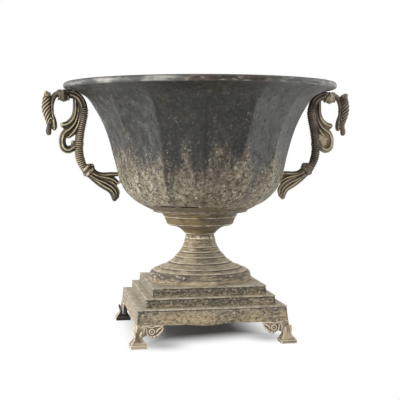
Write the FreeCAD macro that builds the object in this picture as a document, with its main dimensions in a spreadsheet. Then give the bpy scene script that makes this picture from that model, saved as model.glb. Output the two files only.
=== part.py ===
import FreeCAD, Part
import math
import os
import Sketcher

# A two-handled metal urn on a stepped plinth with four cast feet.
# Millimetres, +Z up, +X along the handles, origin on the ground under the bowl's axis.

# Driving dimensions, one line for each size that can be set by itself
SIZES = {
    # Sheet metal and fits
    "sheet_wall": 1.2,
    "slide_gap": 0.2,
    "seat_gap": 0.25,
    "cut_overrun": 2.0,
    # Plinth: three folded square trays
    "apron_width": 198.6,
    "apron_flare": 1.4,
    "apron_height": 20.3,
    "middle_step_width": 174.6,
    "middle_step_height": 12.2,
    "top_step_width": 154.2,
    "top_step_height": 12.3,
    "tread_round": 1.0,
    # Cast feet
    "foot_height": 28.0,
    "foot_splay": 9.1,
    "foot_pad_width": 21.5,
    "foot_pad_height": 6.5,
    "foot_pad_round": 0.8,
    "foot_ankle_width": 10.5,
    "foot_ankle_height": 15.5,
    "foot_ankle_splay": 2.5,
    "foot_knee_width": 12.0,
    "foot_wing_length": 35.0,
    "foot_wing_depth": 16.5,
    "foot_wing_thickness": 4.0,
    "foot_rosette_radius": 5.6,
    "foot_rosette_relief": 1.2,
    "foot_lug_width": 10.0,
    "foot_lug_height": 11.0,
    # Stem: a trumpet with a skirt, a collar and a cup
    "skirt_foot_radius": 72.2,
    "skirt_side_radius": 70.8,
    "skirt_edge_radius": 66.3,
    "skirt_side_height": 9.2,
    "skirt_height": 14.2,
    "trumpet_neck_radius": 21.2,
    "trumpet_height": 42.6,
    "collar_height": 5.0,
    "collar_spigot_length": 3.5,
    "cup_neck_radius": 19.8,
    "cup_rim_radius": 66.0,
    "cup_ledge_width": 11.0,
    "cup_height": 34.0,
    # Bowl of flat panels with a rolled mouth
    "tack_height": 1.4,
    "tack_radius": 1.8,
    "bowl_seat_radius": 66.0,
    "bowl_mouth_radius": 183.7,
    "bowl_height": 169.9,
    "roll_radius": 4.3,
    # Cast handles
    "handle_seat_drop": 134.9,
    "strand_radius": 6.0,
    "head_radius": 7.6,
    "lobe_radius": 6.6,
    "scroll_radius": 4.2,
    "knuckle_radius": 8.2,
    "boss_radius": 8.0,
    # Fasteners
    "rod_radius": 4.0,
    "rod_stand_out": 3.0,
    "nut_width": 13.0,
    "nut_height": 6.5,
    "bowl_washer_radius": 15.0,
    "base_washer_radius": 20.0,
    "washer_thickness": 1.6,
    "screw_radius": 2.0,
    "screw_head_radius": 3.6,
    "screw_head_height": 2.2,
    "screw_length": 9.0,
    "screw_washer_radius": 5.0,
    "screw_washer_thickness": 0.8,
}

# Counts and angles
PANEL_COUNT = 14
TACK_COUNT = 12
QUARTER_TURNS = 4
FIRST_ARRIS_DEGREES = -97.3
FULL_TURN_DEGREES = 360
HEX_SIDES = 6

# Bowl outline from seat to roll: share of the spread, share of the height, roundness of the section
BOWL_SHARES = [
    (0.000, 0.000, 0.70),
    (0.077, 0.025, 0.55),
    (0.210, 0.075, 0.35),
    (0.315, 0.140, 0.20),
    (0.370, 0.195, 0.12),
    (0.412, 0.260, 0.08),
    (0.438, 0.337, 0.08),
    (0.468, 0.434, 0.08),
    (0.503, 0.531, 0.08),
    (0.546, 0.629, 0.10),
    (0.602, 0.725, 0.14),
    (0.679, 0.821, 0.30),
    (0.756, 0.900, 0.60),
    (0.850, 0.945, 0.85),
    (0.979, 0.9835, 1.00),
]

# Cup outline from neck to rim: share of the spread, share of the height, and the wall's two shares
CUP_SHARES = [
    (0.000, 0.000, 1.0, 0.0),
    (0.043, 0.090, 0.9, 0.4),
    (0.502, 0.415, 0.5, 1.0),
    (0.580, 0.500, 1.0, 0.4),
    (0.708, 0.830, 1.0, 0.0),
    (0.990, 0.962, 1.0, 1.0),
]
CUP_BULGE_SHARES = {1: -0.22, 2: 0.30}
CUP_LIP_BULGE_SHARES = {4: -0.35}

# Flare outline above the skirt: share of the spread, share of the height, ring steps between the curves
FLARE_SHARES = [
    (0.827, 0.075),
    (0.794, 0.101),
    (0.568, 0.207),
    (0.532, 0.235),
    (0.237, 0.528),
    (0.195, 0.563),
    (0.000, 1.000),
]
FLARE_BULGE_SHARE = -0.12
SKIRT_BULGE_SHARE = 0.30
FLARE_WALL_SHARES = (0.70, 0.80)

# Foot wing outline from the corner: share of the length, share of the depth below the apron
WING_SHARES = [
    (0.00, 0.00),
    (1.00, 0.00),
    (0.95, 0.34),
    (0.74, 0.88),
    (0.56, 0.90),
    (0.43, 0.68),
    (0.30, 0.80),
    (0.00, 0.80),
]
WING_BULGE_SHARES = {1: 0.30, 2: 0.12, 3: 0.55, 4: -0.20, 5: -0.30}
ROSETTE_SHARES = (0.64, 0.55)
COLLAR_BULGE_SHARE = 0.35

# Handle centre lines: share from tail seat to roll outwards, the same upwards, share of the strand's radius
NECK_SHARES = [
    (0.592, 0.152, 0.80),
    (0.660, 0.195, 0.85),
    (0.718, 0.246, 0.90),
    (0.765, 0.331, 1.00),
    (0.776, 0.415, 1.02),
    (0.770, 0.500, 1.02),
    (0.750, 0.585, 1.06),
    (0.721, 0.669, 1.18),
    (0.706, 0.754, 1.32),
    (0.724, 0.821, 1.30),
    (0.770, 0.884, 1.22),
    (0.864, 0.932, 1.12),
    (1.009, 0.942, 1.10),
    (1.123, 0.933, 0.96),
    (1.215, 0.922, 0.94),
    (1.310, 0.915, 0.90),
]
HEAD_SHARES = [
    (1.388, 0.985, 0.26),
    (1.362, 0.945, 0.58),
    (1.352, 0.890, 0.82),
    (1.352, 0.819, 0.94),
    (1.321, 0.718, 1.00),
    (1.275, 0.634, 0.92),
    (1.288, 0.580, 0.68),
    (1.315, 0.545, 0.54),
    (1.328, 0.512, 0.26),
]
JAW_SHARES = [
    (1.265, 0.650, 0.60),
    (1.235, 0.618, 0.52),
    (1.212, 0.590, 0.34),
]
LEAF_SHARES = [
    (0.780, 0.760, 0.60),
    (0.830, 0.690, 0.90),
    (0.915, 0.640, 1.00),
    (1.022, 0.620, 0.92),
    (1.098, 0.630, 0.50),
]
SCROLL_SHARES = [
    (0.800, 0.640, 0.80),
    (0.860, 0.585, 0.85),
    (0.940, 0.552, 0.90),
    (1.028, 0.517, 1.00),
    (1.071, 0.449, 1.00),
    (1.033, 0.386, 1.00),
    (0.950, 0.365, 0.95),
    (0.860, 0.385, 0.80),
    (0.800, 0.400, 0.70),
]
TAIL_TOP_SHARES = [
    (0.560, 0.142, 0.66),
    (0.399, 0.109, 0.52),
    (0.244, 0.104, 0.46),
    (0.040, 0.120, 0.38),
]
TAIL_MIDDLE_SHARES = [
    (0.560, 0.130, 0.72),
    (0.420, 0.088, 0.76),
    (0.270, 0.058, 0.78),
    (0.120, 0.020, 0.74),
    (0.000, -0.025, 0.50),
]
TAIL_LOWER_SHARES = [
    (0.580, 0.125, 0.72),
    (0.369, 0.050, 0.86),
    (0.214, -0.006, 0.98),
    (0.112, -0.064, 0.98),
    (0.090, -0.115, 0.80),
    (0.100, -0.170, 0.34),
]
KNUCKLE_SHARES = (0.592, 0.152)
BOSS_SHARES = (1.010, 0.945)
TAIL_SCREW_SHARE = 0.035
RIM_SCREW_SHARE = 0.50
ROD_CHAMFER_SHARE = 0.25
HEAD_ROUND_SHARE = 0.6
LEVEL_SHARE = 0.001


class Term:
    """A size of the sheet, or a sum made of such sizes, as an expression and as its number."""

    def __init__(self, text, number):
        self.text = text
        self.number = number

    def __add__(self, other):
        return Term("(%s + %s)" % (self.text, other.text), self.number + other.number)

    def __sub__(self, other):
        return Term("(%s - %s)" % (self.text, other.text), self.number - other.number)

    def __rmul__(self, share):
        return Term("(%r * %s)" % (share, self.text), share * self.number)


def size(name):
    """The size of that name, tied to its cell."""
    return Term("Sizes." + name, float(SIZES[name]))


def distance(first, second):
    """The straight distance between two corners."""
    run = first[0] - second[0]
    rise = first[1] - second[1]
    text = "sqrt(%s * %s + %s * %s)" % (run.text, run.text, rise.text, rise.text)
    return Term(text, math.hypot(run.number, rise.number))


doc = FreeCAD.newDocument("metal_urn")
sheet = doc.addObject("Spreadsheet::Sheet", "Sizes")
for row, (alias, number) in enumerate(SIZES.items(), start=1):
    sheet.set("A%d" % row, alias)
    sheet.set("B%d" % row, str(number))
    sheet.setAlias("B%d" % row, alias)
doc.recompute()

ZERO = Term("0", 0.0)
subparts = []

# Heights of the stack, from the ground up
apron_top = size("foot_height") + size("apron_height")
middle_top = apron_top + size("middle_step_height")
plinth_top = middle_top + size("top_step_height")
trumpet_top = plinth_top + size("skirt_height") + size("trumpet_height")
collar_top = trumpet_top + size("collar_height")
cup_top = collar_top + size("cup_height")
bowl_base = cup_top + size("tack_height")
roll_height = bowl_base + size("bowl_height")
apron_half = 0.5 * size("apron_width")
apron_foot_half = apron_half + size("apron_flare")
rod_hole_radius = size("rod_radius") + size("seat_gap")


def keep(thing, label):
    """Name a finished sub-part and put it on the list that is written out."""
    thing.Label = label
    subparts.append(thing)
    return thing


def bind(thing, **terms):
    """Tie each property of a feature to its term."""
    for name, term in terms.items():
        thing.setExpression(name, term.text)


def place(thing, east=ZERO, north=ZERO, up=ZERO):
    """Tie a primitive's place to the sheet."""
    for axis, term in (("x", east), ("y", north), ("z", up)):
        thing.setExpression("Placement.Base." + axis, term.text)


def sketch_on(body, name, role, offset=None):
    """A sketch on one of the body's own origin planes, moved along its normal."""
    plane = [item for item in body.Origin.OriginFeatures if item.Role == role][0]
    sketch = body.newObject("Sketcher::SketchObject", name)
    sketch.AttachmentSupport = [(plane, "")]
    sketch.MapMode = "FlatFace"
    if offset is not None:
        sketch.setExpression("AttachmentOffset.Base.z", offset.text)
    return sketch


def tie(sketch, constraint, term):
    """Add a dimension to the sketch and tie it to a term."""
    index = sketch.addConstraint(constraint)
    sketch.setExpression("Constraints[%d]" % index, term.text)


def tie_corner(sketch, edge, end, corner):
    """Hold one end of an edge at a corner whose two distances come from the sheet."""
    for kind, axis, term in (("DistanceX", -2, corner[0]), ("DistanceY", -1, corner[1])):
        if term is ZERO:
            sketch.addConstraint(Sketcher.Constraint("PointOnObject", edge, end, axis))
        else:
            tie(sketch, Sketcher.Constraint(kind, -1, 1, edge, end, term.number), term)


def draw_outline(sketch, corners, bulge_shares=None):
    """Close a loop of lines and arcs; a bulge is the arc's height as a share of half its chord."""
    bulges = bulge_shares or {}
    edges = []
    for index, corner in enumerate(corners):
        following = corners[(index + 1) % len(corners)]
        start = FreeCAD.Vector(corner[0].number, corner[1].number, 0)
        end = FreeCAD.Vector(following[0].number, following[1].number, 0)
        bulge = bulges.get(index, 0)
        if bulge == 0:
            edges.append((sketch.addGeometry(Part.LineSegment(start, end)), 1, 2))
            continue
        chord = end - start
        radius_share = (1 + bulge * bulge) / (4 * abs(bulge))
        left = FreeCAD.Vector(-chord.y, chord.x, 0) * math.copysign(1, bulge)
        centre = (start + end) * 0.5 + left * (radius_share - abs(bulge) / 2)
        circle = Part.Circle(centre, FreeCAD.Vector(0, 0, 1), radius_share * chord.Length)
        first, last = (start, end) if bulge > 0 else (end, start)
        turn = [math.atan2(point.y - centre.y, point.x - centre.x) for point in (first, last)]
        arc = sketch.addGeometry(Part.ArcOfCircle(circle, turn[0], turn[1]))
        edges.append((arc, 1, 2) if bulge > 0 else (arc, 2, 1))
        radius = radius_share * distance(corner, following)
        tie(sketch, Sketcher.Constraint("Radius", arc, radius.number), radius)
    for index, (edge, start_end, finish_end) in enumerate(edges):
        following = edges[(index + 1) % len(edges)]
        sketch.addConstraint(Sketcher.Constraint("Coincident", edge, finish_end, following[0], following[1]))
        tie_corner(sketch, edge, start_end, corners[index])


def draw_square(sketch, low, high):
    """A square whose sides run from low to high along both axes."""
    draw_outline(sketch, [(low, low), (high, low), (high, high), (low, high)])


def draw_centred_square(sketch, side):
    """A square round the origin, held by its side and its symmetry."""
    half = side.number / 2
    signs = (-1, -1), (1, -1), (1, 1), (-1, 1)
    points = [FreeCAD.Vector(x * half, y * half, 0) for x, y in signs]
    lines = [sketch.addGeometry(Part.LineSegment(points[i - 1], points[i])) for i in range(len(points))]
    for index, line in enumerate(lines):
        sketch.addConstraint(Sketcher.Constraint("Coincident", lines[index - 1], 2, line, 1))
        kind = "Horizontal" if index % 2 else "Vertical"
        sketch.addConstraint(Sketcher.Constraint(kind, line))
    sketch.addConstraint(Sketcher.Constraint("Symmetric", lines[0], 2, lines[2], 2, -1, 1))
    tie(sketch, Sketcher.Constraint("DistanceX", lines[1], 1, lines[1], 2, side.number), side)
    tie(sketch, Sketcher.Constraint("DistanceY", lines[2], 1, lines[2], 2, side.number), side)


def draw_circle(sketch, radius, centre=(ZERO, ZERO)):
    """A circle of a tied radius."""
    middle = FreeCAD.Vector(centre[0].number, centre[1].number, 0)
    circle = sketch.addGeometry(Part.Circle(middle, FreeCAD.Vector(0, 0, 1), radius.number))
    tie(sketch, Sketcher.Constraint("Radius", circle, radius.number), radius)
    tie_corner(sketch, circle, 3, centre)


def pad(body, name, sketch, length):
    """Raise a sketch along its normal."""
    feature = body.newObject("PartDesign::Pad", name)
    feature.Profile = sketch
    bind(feature, Length=length)
    return feature


def loft(body, name, sketches):
    """Join several sketches by a skin."""
    feature = body.newObject("PartDesign::AdditiveLoft", name)
    feature.Profile = sketches[0]
    feature.Sections = sketches[1:]
    return feature


def pocket_up(body, name, sketch, depth):
    """Cut a sketch upwards into the body."""
    feature = body.newObject("PartDesign::Pocket", name)
    feature.Profile = sketch
    feature.Reversed = True
    bind(feature, Length=depth)
    return feature


def with_inner(bulge_shares, outer_count, inner_count):
    """The bulges of an outer outline and of the inner one that comes back beside it."""
    bulges = dict(bulge_shares)
    for index, share in bulge_shares.items():
        bulges[outer_count + inner_count - 2 - index] = -share
    return bulges


def turn_profile(label, corners, bulge_shares=None):
    """A body of revolution about the urn's axis."""
    body = doc.addObject("PartDesign::Body", label)
    sketch = sketch_on(body, label + "_profile", "XZ_Plane")
    draw_outline(sketch, corners, bulge_shares)
    feature = body.newObject("PartDesign::Revolution", label + "_turned")
    feature.Profile = sketch
    feature.ReferenceAxis = (sketch, ["V_Axis"])
    feature.Angle = FULL_TURN_DEGREES
    return keep(body, label)


def round_top(body, name, base, height, radius):
    """Round the edges of a feature that lie at one height."""
    doc.recompute()
    picked = []
    for index, edge in enumerate(base.Shape.Edges, start=1):
        box = edge.BoundBox
        near = LEVEL_SHARE * box.DiagonalLength
        if abs(box.ZMin - height) < near and abs(box.ZMax - height) < near:
            picked.append("Edge%d" % index)
    feature = body.newObject("PartDesign::Fillet", name)
    feature.Base = (base, picked)
    bind(feature, Radius=radius)
    return feature


def step_tray(label, base_height, height, top_width, flare):
    """A folded square tray, open below, with a hole for the tie rod."""
    body = doc.addObject("PartDesign::Body", label)
    foot_width = top_width + 2.0 * flare
    wall = size("sheet_wall")
    lean = "-atan(%s / %s)" % (flare.text, height.text)
    outside = sketch_on(body, label + "_outside", "XY_Plane", base_height)
    draw_centred_square(outside, foot_width)
    block = pad(body, label + "_block", outside, height)
    block.setExpression("TaperAngle", lean)
    round_top(body, label + "_treads", block, (base_height + height).number, size("tread_round"))
    doc.recompute()
    inside = sketch_on(body, label + "_inside", "XY_Plane", base_height)
    draw_centred_square(inside, foot_width - 2.0 * wall)
    hollow = pocket_up(body, label + "_hollow", inside, height - wall)
    hollow.setExpression("TaperAngle", lean)
    hole = sketch_on(body, label + "_rod_circle", "XY_Plane", base_height)
    draw_circle(hole, rod_hole_radius)
    pocket_up(body, label + "_rod_hole", hole, height + size("cut_overrun"))
    return keep(body, label)


def foot(label, quarter):
    """A cast corner foot: splayed leg on a square pad, two scrolled wings and a lug inside the apron."""
    body = doc.addObject("PartDesign::Body", label)
    height = size("foot_height")
    corner = apron_foot_half
    pad_outer = corner + size("foot_splay")
    pad_inner = pad_outer - size("foot_pad_width")
    ankle_outer = corner + size("foot_ankle_splay")
    ankle_inner = ankle_outer - size("foot_ankle_width")
    knee_inner = corner - size("foot_knee_width")
    shoulder = size("foot_pad_height") - size("foot_pad_round")

    pad_square = sketch_on(body, label + "_pad_square", "XY_Plane")
    draw_square(pad_square, pad_inner, pad_outer)
    block = pad(body, label + "_pad", pad_square, size("foot_pad_height"))
    round_top(body, label + "_pad_edges", block, size("foot_pad_height").number, size("foot_pad_round"))

    rings = []
    spans = (
        ("sole", shoulder, pad_inner + size("foot_pad_round"), pad_outer - size("foot_pad_round")),
        ("ankle", size("foot_ankle_height"), ankle_inner, ankle_outer),
        ("knee", height, knee_inner, corner),
    )
    for name, level, low, high in spans:
        ring = sketch_on(body, "%s_%s" % (label, name), "XY_Plane", level)
        draw_square(ring, low, high)
        rings.append(ring)
    loft(body, label + "_leg", rings)

    wing_sketch = sketch_on(body, label + "_wing_outline", "YZ_Plane", corner - size("foot_wing_thickness"))
    outline = []
    for along, down in WING_SHARES:
        outline.append((corner - along * size("foot_wing_length"), height - down * size("foot_wing_depth")))
    draw_outline(wing_sketch, outline, WING_BULGE_SHARES)
    wing = pad(body, label + "_wing", wing_sketch, size("foot_wing_thickness"))

    wing_back = corner - size("foot_wing_thickness")
    rosette_sketch = sketch_on(body, label + "_rosette_circle", "YZ_Plane", wing_back)
    across = corner - ROSETTE_SHARES[0] * size("foot_wing_length")
    level = height - ROSETTE_SHARES[1] * size("foot_wing_depth")
    draw_circle(rosette_sketch, size("foot_rosette_radius"), (across, level))
    relief = size("foot_wing_thickness") + size("foot_rosette_relief")
    rosette = pad(body, label + "_rosette", rosette_sketch, relief)

    diagonal = body.newObject("PartDesign::Plane", label + "_diagonal")
    side_plane = [item for item in body.Origin.OriginFeatures if item.Role == "YZ_Plane"][0]
    diagonal.AttachmentSupport = [(side_plane, "")]
    diagonal.MapMode = "FlatFace"
    half_corner = FreeCAD.Rotation(FreeCAD.Vector(0, 1, 0), -FULL_TURN_DEGREES / 8)
    diagonal.AttachmentOffset = FreeCAD.Placement(FreeCAD.Vector(0, 0, 0), half_corner)
    doc.recompute()
    mirrored = body.newObject("PartDesign::Mirrored", label + "_second_wing")
    mirrored.Originals = [wing, rosette]
    mirrored.MirrorPlane = (diagonal, [""])
    body.Tip = mirrored

    lug_sketch = sketch_on(body, label + "_lug_square", "XY_Plane", size("foot_ankle_height"))
    lug_outer = apron_half - size("sheet_wall") - size("seat_gap")
    draw_square(lug_sketch, lug_outer - size("foot_lug_width"), lug_outer)
    lug_rise = height - size("foot_ankle_height") + size("foot_lug_height")
    pad(body, label + "_lug", lug_sketch, lug_rise)
    turn = FreeCAD.Rotation(FreeCAD.Vector(0, 0, 1), quarter * FULL_TURN_DEGREES / QUARTER_TURNS)
    body.Placement = FreeCAD.Placement(FreeCAD.Vector(0, 0, 0), turn)
    return keep(body, label)


def stem_trumpet():
    """The spun flare with its ring steps and skirt, hollow for the rod."""
    wall = size("sheet_wall")
    spread = size("skirt_edge_radius") - size("trumpet_neck_radius")
    flare_base = plinth_top + size("skirt_height")
    outer = [
        (size("skirt_foot_radius"), plinth_top),
        (size("skirt_side_radius"), plinth_top + size("skirt_side_height")),
        (size("skirt_edge_radius"), flare_base),
    ]
    inner = [
        (size("skirt_foot_radius") - wall, plinth_top),
        (size("skirt_side_radius") - wall, plinth_top + size("skirt_side_height")),
        (size("skirt_edge_radius") - FLARE_WALL_SHARES[0] * wall, flare_base - wall),
    ]
    for out, up in FLARE_SHARES:
        radius = size("trumpet_neck_radius") + out * spread
        height = flare_base + up * size("trumpet_height")
        outer.append((radius, height))
        drop = ZERO if up == FLARE_SHARES[-1][1] else FLARE_WALL_SHARES[1] * wall
        thin = wall if drop is ZERO else FLARE_WALL_SHARES[0] * wall
        inner.append((radius - thin, height - drop))
    bulges = {1: SKIRT_BULGE_SHARE}
    for index in range(4, len(outer) - 1, 2):
        bulges[index] = FLARE_BULGE_SHARE
    bulges = with_inner(bulges, len(outer), len(inner))
    return turn_profile("stem_trumpet", outer + inner[::-1], bulges)


def stem_cup():
    """The spun cup that carries the bowl, with a flat rim."""
    wall = size("sheet_wall")
    spread = size("cup_rim_radius") - size("cup_neck_radius")
    outer = []
    inner = []
    for out, up, thin, lift in CUP_SHARES:
        radius = size("cup_neck_radius") + out * spread
        height = collar_top + up * size("cup_height")
        outer.append((radius, height))
        inner.append((radius - thin * wall, height + lift * wall))
    outer.append((size("cup_rim_radius"), cup_top))
    inner[-1] = (size("cup_rim_radius") - size("cup_ledge_width"), cup_top)
    bulges = with_inner(CUP_BULGE_SHARES, len(outer), len(inner))
    bulges.update(CUP_LIP_BULGE_SHARES)
    return turn_profile("stem_cup", outer + inner[::-1], bulges)


def neck_collar():
    """The turned bead between trumpet and cup, with a spigot into each."""
    wall = size("sheet_wall")
    gap = size("slide_gap")
    lower = size("trumpet_neck_radius") - wall - gap
    upper = size("cup_neck_radius") - wall - gap
    face = size("trumpet_neck_radius")
    corners = [
        (rod_hole_radius, trumpet_top - size("collar_spigot_length")),
        (lower, trumpet_top - size("collar_spigot_length")),
        (lower, trumpet_top),
        (face, trumpet_top),
        (size("cup_neck_radius"), collar_top),
        (upper, collar_top),
        (upper, collar_top + size("collar_spigot_length")),
        (rod_hole_radius, collar_top + size("collar_spigot_length")),
    ]
    return turn_profile("neck_collar", corners, {3: COLLAR_BULGE_SHARE})


def bowl_profile(grow=0.0):
    """The bowl's outline as (radius, height, roundness), moved outwards by grow along its normal."""
    seat = SIZES["bowl_seat_radius"]
    spread = SIZES["bowl_mouth_radius"] - seat
    points = []
    for out, up, roundness in BOWL_SHARES:
        points.append((seat + out * spread, bowl_base.number + up * SIZES["bowl_height"], roundness))
    moved = []
    for index, (radius, height, roundness) in enumerate(points):
        before = points[max(index - 1, 0)]
        after = points[min(index + 1, len(points) - 1)]
        run = after[0] - before[0]
        rise = after[1] - before[1]
        length = math.hypot(run, rise)
        moved.append((radius + grow * rise / length, height - grow * run / length, roundness))
    return moved


def panel_section(radius, height, roundness):
    """One level of the bowl: fourteen shallow arcs between the arrises."""
    pitch = 2 * math.pi / PANEL_COUNT
    flat = math.cos(pitch / 2)
    middle = radius * (flat + roundness * (1 - flat))
    first = math.radians(FIRST_ARRIS_DEGREES)

    def spot(reach, angle):
        return FreeCAD.Vector(reach * math.cos(angle), reach * math.sin(angle), height)

    arcs = []
    for panel in range(PANEL_COUNT):
        angle = first + panel * pitch
        ends = spot(radius, angle), spot(middle, angle + pitch / 2), spot(radius, angle + pitch)
        arcs.append(Part.Arc(*ends).toShape())
    return Part.Wire(arcs)


def panel_solid(grow=0.0):
    """The bowl's outline filled solid."""
    return Part.makeLoft([panel_section(*level) for level in bowl_profile(grow)], True, False)


def wall_at(height, azimuth=0.0):
    """The bowl's outer radius at a height and an angle from the handles."""
    levels = bowl_profile()
    for low, high in zip(levels, levels[1:]):
        if low[1] <= height <= high[1]:
            share = (height - low[1]) / (high[1] - low[1])
            radius = low[0] + share * (high[0] - low[0])
            roundness = low[2] + share * (high[2] - low[2])
            break
    pitch = 2 * math.pi / PANEL_COUNT
    off_middle = (azimuth - math.radians(FIRST_ARRIS_DEGREES)) % pitch - pitch / 2
    flat = math.cos(pitch / 2) / math.cos(off_middle)
    return radius * (flat + roundness * (1 - flat))


def handle_frame():
    """The handle's tail seat on the bowl and its top under the roll, as (out, up) pairs."""
    seat_height = roll_height.number - SIZES["handle_seat_drop"]
    seat = (wall_at(seat_height) + SIZES["seat_gap"], seat_height)
    top = (SIZES["bowl_mouth_radius"], roll_height.number - SIZES["roll_radius"])
    return seat, top


def handle_spot(shares):
    """A point of the handle in its own plane."""
    seat, top = handle_frame()
    out = seat[0] + shares[0] * (top[0] - seat[0])
    up = seat[1] + shares[1] * (top[1] - seat[1])
    return FreeCAD.Vector(out, 0, up)


def strand(shares, radius):
    """A tapering round bar along a centre line in the handle's plane."""
    centres = [handle_spot(item) for item in shares]
    depth = FreeCAD.Vector(0, 1, 0)
    sections = []
    for index, centre in enumerate(centres):
        ahead = centres[min(index + 1, len(centres) - 1)] - centres[max(index - 1, 0)]
        side = ahead.cross(depth)
        side.normalize()
        reach = radius * shares[index][2]
        rim = []
        for eighth in range(8):
            angle = math.pi * eighth / 4
            rim.append(centre + (depth * math.cos(angle) + side * math.sin(angle)) * reach)
        arcs = [Part.Arc(rim[i], rim[i + 1], rim[(i + 2) % 8]).toShape() for i in (0, 2, 4, 6)]
        sections.append(Part.Wire(arcs))
    return Part.makeLoft(sections, True, False)


def handle_casting():
    """The right-hand handle as one casting, trimmed to the bowl."""
    bar = SIZES["strand_radius"]
    lobe = SIZES["lobe_radius"]
    scroll = SIZES["scroll_radius"]
    head = SIZES["head_radius"]
    pieces = [
        strand(HEAD_SHARES, head),
        strand(JAW_SHARES, head),
        strand(LEAF_SHARES, scroll),
        strand(SCROLL_SHARES, scroll),
        strand(TAIL_TOP_SHARES, lobe),
        strand(TAIL_MIDDLE_SHARES, lobe),
        strand(TAIL_LOWER_SHARES, lobe),
        Part.makeSphere(SIZES["knuckle_radius"], handle_spot(KNUCKLE_SHARES)),
        Part.makeSphere(SIZES["boss_radius"], handle_spot(BOSS_SHARES)),
    ]
    casting = strand(NECK_SHARES, bar).fuse(pieces)
    gap = SIZES["seat_gap"]
    casting = casting.cut([panel_solid(gap), roll_ring(SIZES["roll_radius"] + gap)])
    return max(casting.Solids, key=lambda solid: solid.Volume)


def roll_ring(radius):
    """A ring round the mouth at the height of the roll."""
    centre = FreeCAD.Vector(0, 0, roll_height.number)
    return Part.makeTorus(SIZES["bowl_mouth_radius"], radius, centre, FreeCAD.Vector(0, 0, 1))


def feature(label, shape, turn_degrees=0):
    """A sub-part whose shape has no sketch, turned about the urn's axis."""
    thing = doc.addObject("Part::Feature", label)
    thing.Shape = shape
    turn = FreeCAD.Rotation(FreeCAD.Vector(0, 0, 1), turn_degrees)
    thing.Placement = FreeCAD.Placement(FreeCAD.Vector(0, 0, 0), turn)
    return keep(thing, label)


def ring(label, outer_radius, inner_radius, thickness, height):
    """A flat washer on the urn's axis."""
    disc = doc.addObject("Part::Cylinder", label + "_disc")
    hole = doc.addObject("Part::Cylinder", label + "_hole")
    bind(disc, Radius=outer_radius, Height=thickness)
    bind(hole, Radius=inner_radius, Height=thickness)
    for thing in (disc, hole):
        place(thing, up=height)
    washer = doc.addObject("Part::Cut", label)
    washer.Base = disc
    washer.Tool = hole
    return keep(washer, label)


def hex_nut(label, height):
    """A hexagon nut on the tie rod."""
    prism = doc.addObject("Part::Prism", label + "_prism")
    prism.Polygon = HEX_SIDES
    thread = doc.addObject("Part::Cylinder", label + "_thread")
    corner_share = 0.5 / math.cos(math.pi / HEX_SIDES)
    bind(prism, Circumradius=corner_share * size("nut_width"), Height=size("nut_height"))
    bind(thread, Radius=size("rod_radius") + size("slide_gap"), Height=size("nut_height"))
    for thing in (prism, thread):
        place(thing, up=height)
    nut = doc.addObject("Part::Cut", label)
    nut.Base = prism
    nut.Tool = thread
    return keep(nut, label)


def tie_rod(low, high):
    """The threaded rod, chamfered at both ends."""
    radius = size("rod_radius")
    chamfer = ROD_CHAMFER_SHARE * radius
    corners = [
        (ZERO, low),
        (radius - chamfer, low),
        (radius, low + chamfer),
        (radius, high - chamfer),
        (radius - chamfer, high),
        (ZERO, high),
    ]
    return turn_profile("tie_rod", corners)


def seam_tacks():
    """Solder spots in the slit between cup and bowl."""
    tacks = []
    reach = size("bowl_seat_radius") - size("tack_radius")
    for index in range(TACK_COUNT):
        angle = 2 * math.pi * (index + 0.5) / TACK_COUNT
        tack = doc.addObject("Part::Cylinder", "seam_tack_%02d" % index)
        bind(tack, Radius=size("tack_radius"), Height=size("tack_height"))
        place(tack, math.cos(angle) * reach, math.sin(angle) * reach, cup_top)
        tacks.append(tack)
    group = doc.addObject("Part::Compound", "seam_tacks")
    group.Links = tacks
    return keep(group, "seam_tacks")


def rim_wire():
    """The wire that the mouth is rolled around."""
    wire = doc.addObject("Part::Torus", "rim_wire")
    bind(wire, Radius1=size("bowl_mouth_radius"))
    bind(wire, Radius2=size("roll_radius") - size("sheet_wall") - size("slide_gap"))
    place(wire, up=roll_height)
    return keep(wire, "rim_wire")


def wall_spot(height, azimuth=0.0):
    """A point of the bowl's outer face."""
    reach = wall_at(height, azimuth)
    return FreeCAD.Vector(reach * math.cos(azimuth), reach * math.sin(azimuth), height)


def wall_seat(height, reach):
    """A seat of a radius inside the bowl's wall beside the right handle, with its outward direction."""
    centre = wall_spot(height)
    lean = wall_spot(height + reach / 2) - wall_spot(height - reach / 2)
    climb = reach * lean.z / lean.Length
    turn = reach / centre.x
    across = wall_spot(height, -turn), wall_spot(height, turn)
    along = wall_spot(height - climb), wall_spot(height + climb)
    normal = (across[1] - across[0]).cross(along[1] - along[0])
    normal.normalize()
    rise = max(0.0, *((centre - spot).dot(normal) for spot in across + along))
    return centre - normal * (SIZES["sheet_wall"] + SIZES["seat_gap"] + rise), normal


def screw_seats():
    """Where each screw leaves the bowl's inner face beside the right handle, with its direction."""
    low, high = bowl_profile()[-2:]
    rim_height = low[1] + RIM_SCREW_SHARE * (high[1] - low[1])
    seat, top = handle_frame()
    tail_height = seat[1] + TAIL_SCREW_SHARE * (top[1] - seat[1])
    return {
        "rim": wall_seat(rim_height, SIZES["screw_head_radius"]),
        "tail": wall_seat(tail_height, SIZES["screw_washer_radius"]),
    }


def both_sides(shape):
    """The shape beside the right handle and its copy beside the left one."""
    other = shape.copy()
    other.rotate(FreeCAD.Vector(0, 0, 0), FreeCAD.Vector(0, 0, 1), FULL_TURN_DEGREES / 2)
    return [shape, other]


def aimed(shape, seat, normal):
    """A shape drawn along -Z, moved to a seat and turned along its normal."""
    moved = shape.copy()
    turn = FreeCAD.Rotation(FreeCAD.Vector(0, 0, -1), normal)
    moved.Placement = FreeCAD.Placement(seat, turn)
    return moved


def bar_below(radius, length, rise=0.0):
    """A round bar from a rise above the origin down to a length below it."""
    return Part.makeCylinder(radius, length + rise, FreeCAD.Vector(0, 0, -length))


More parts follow.
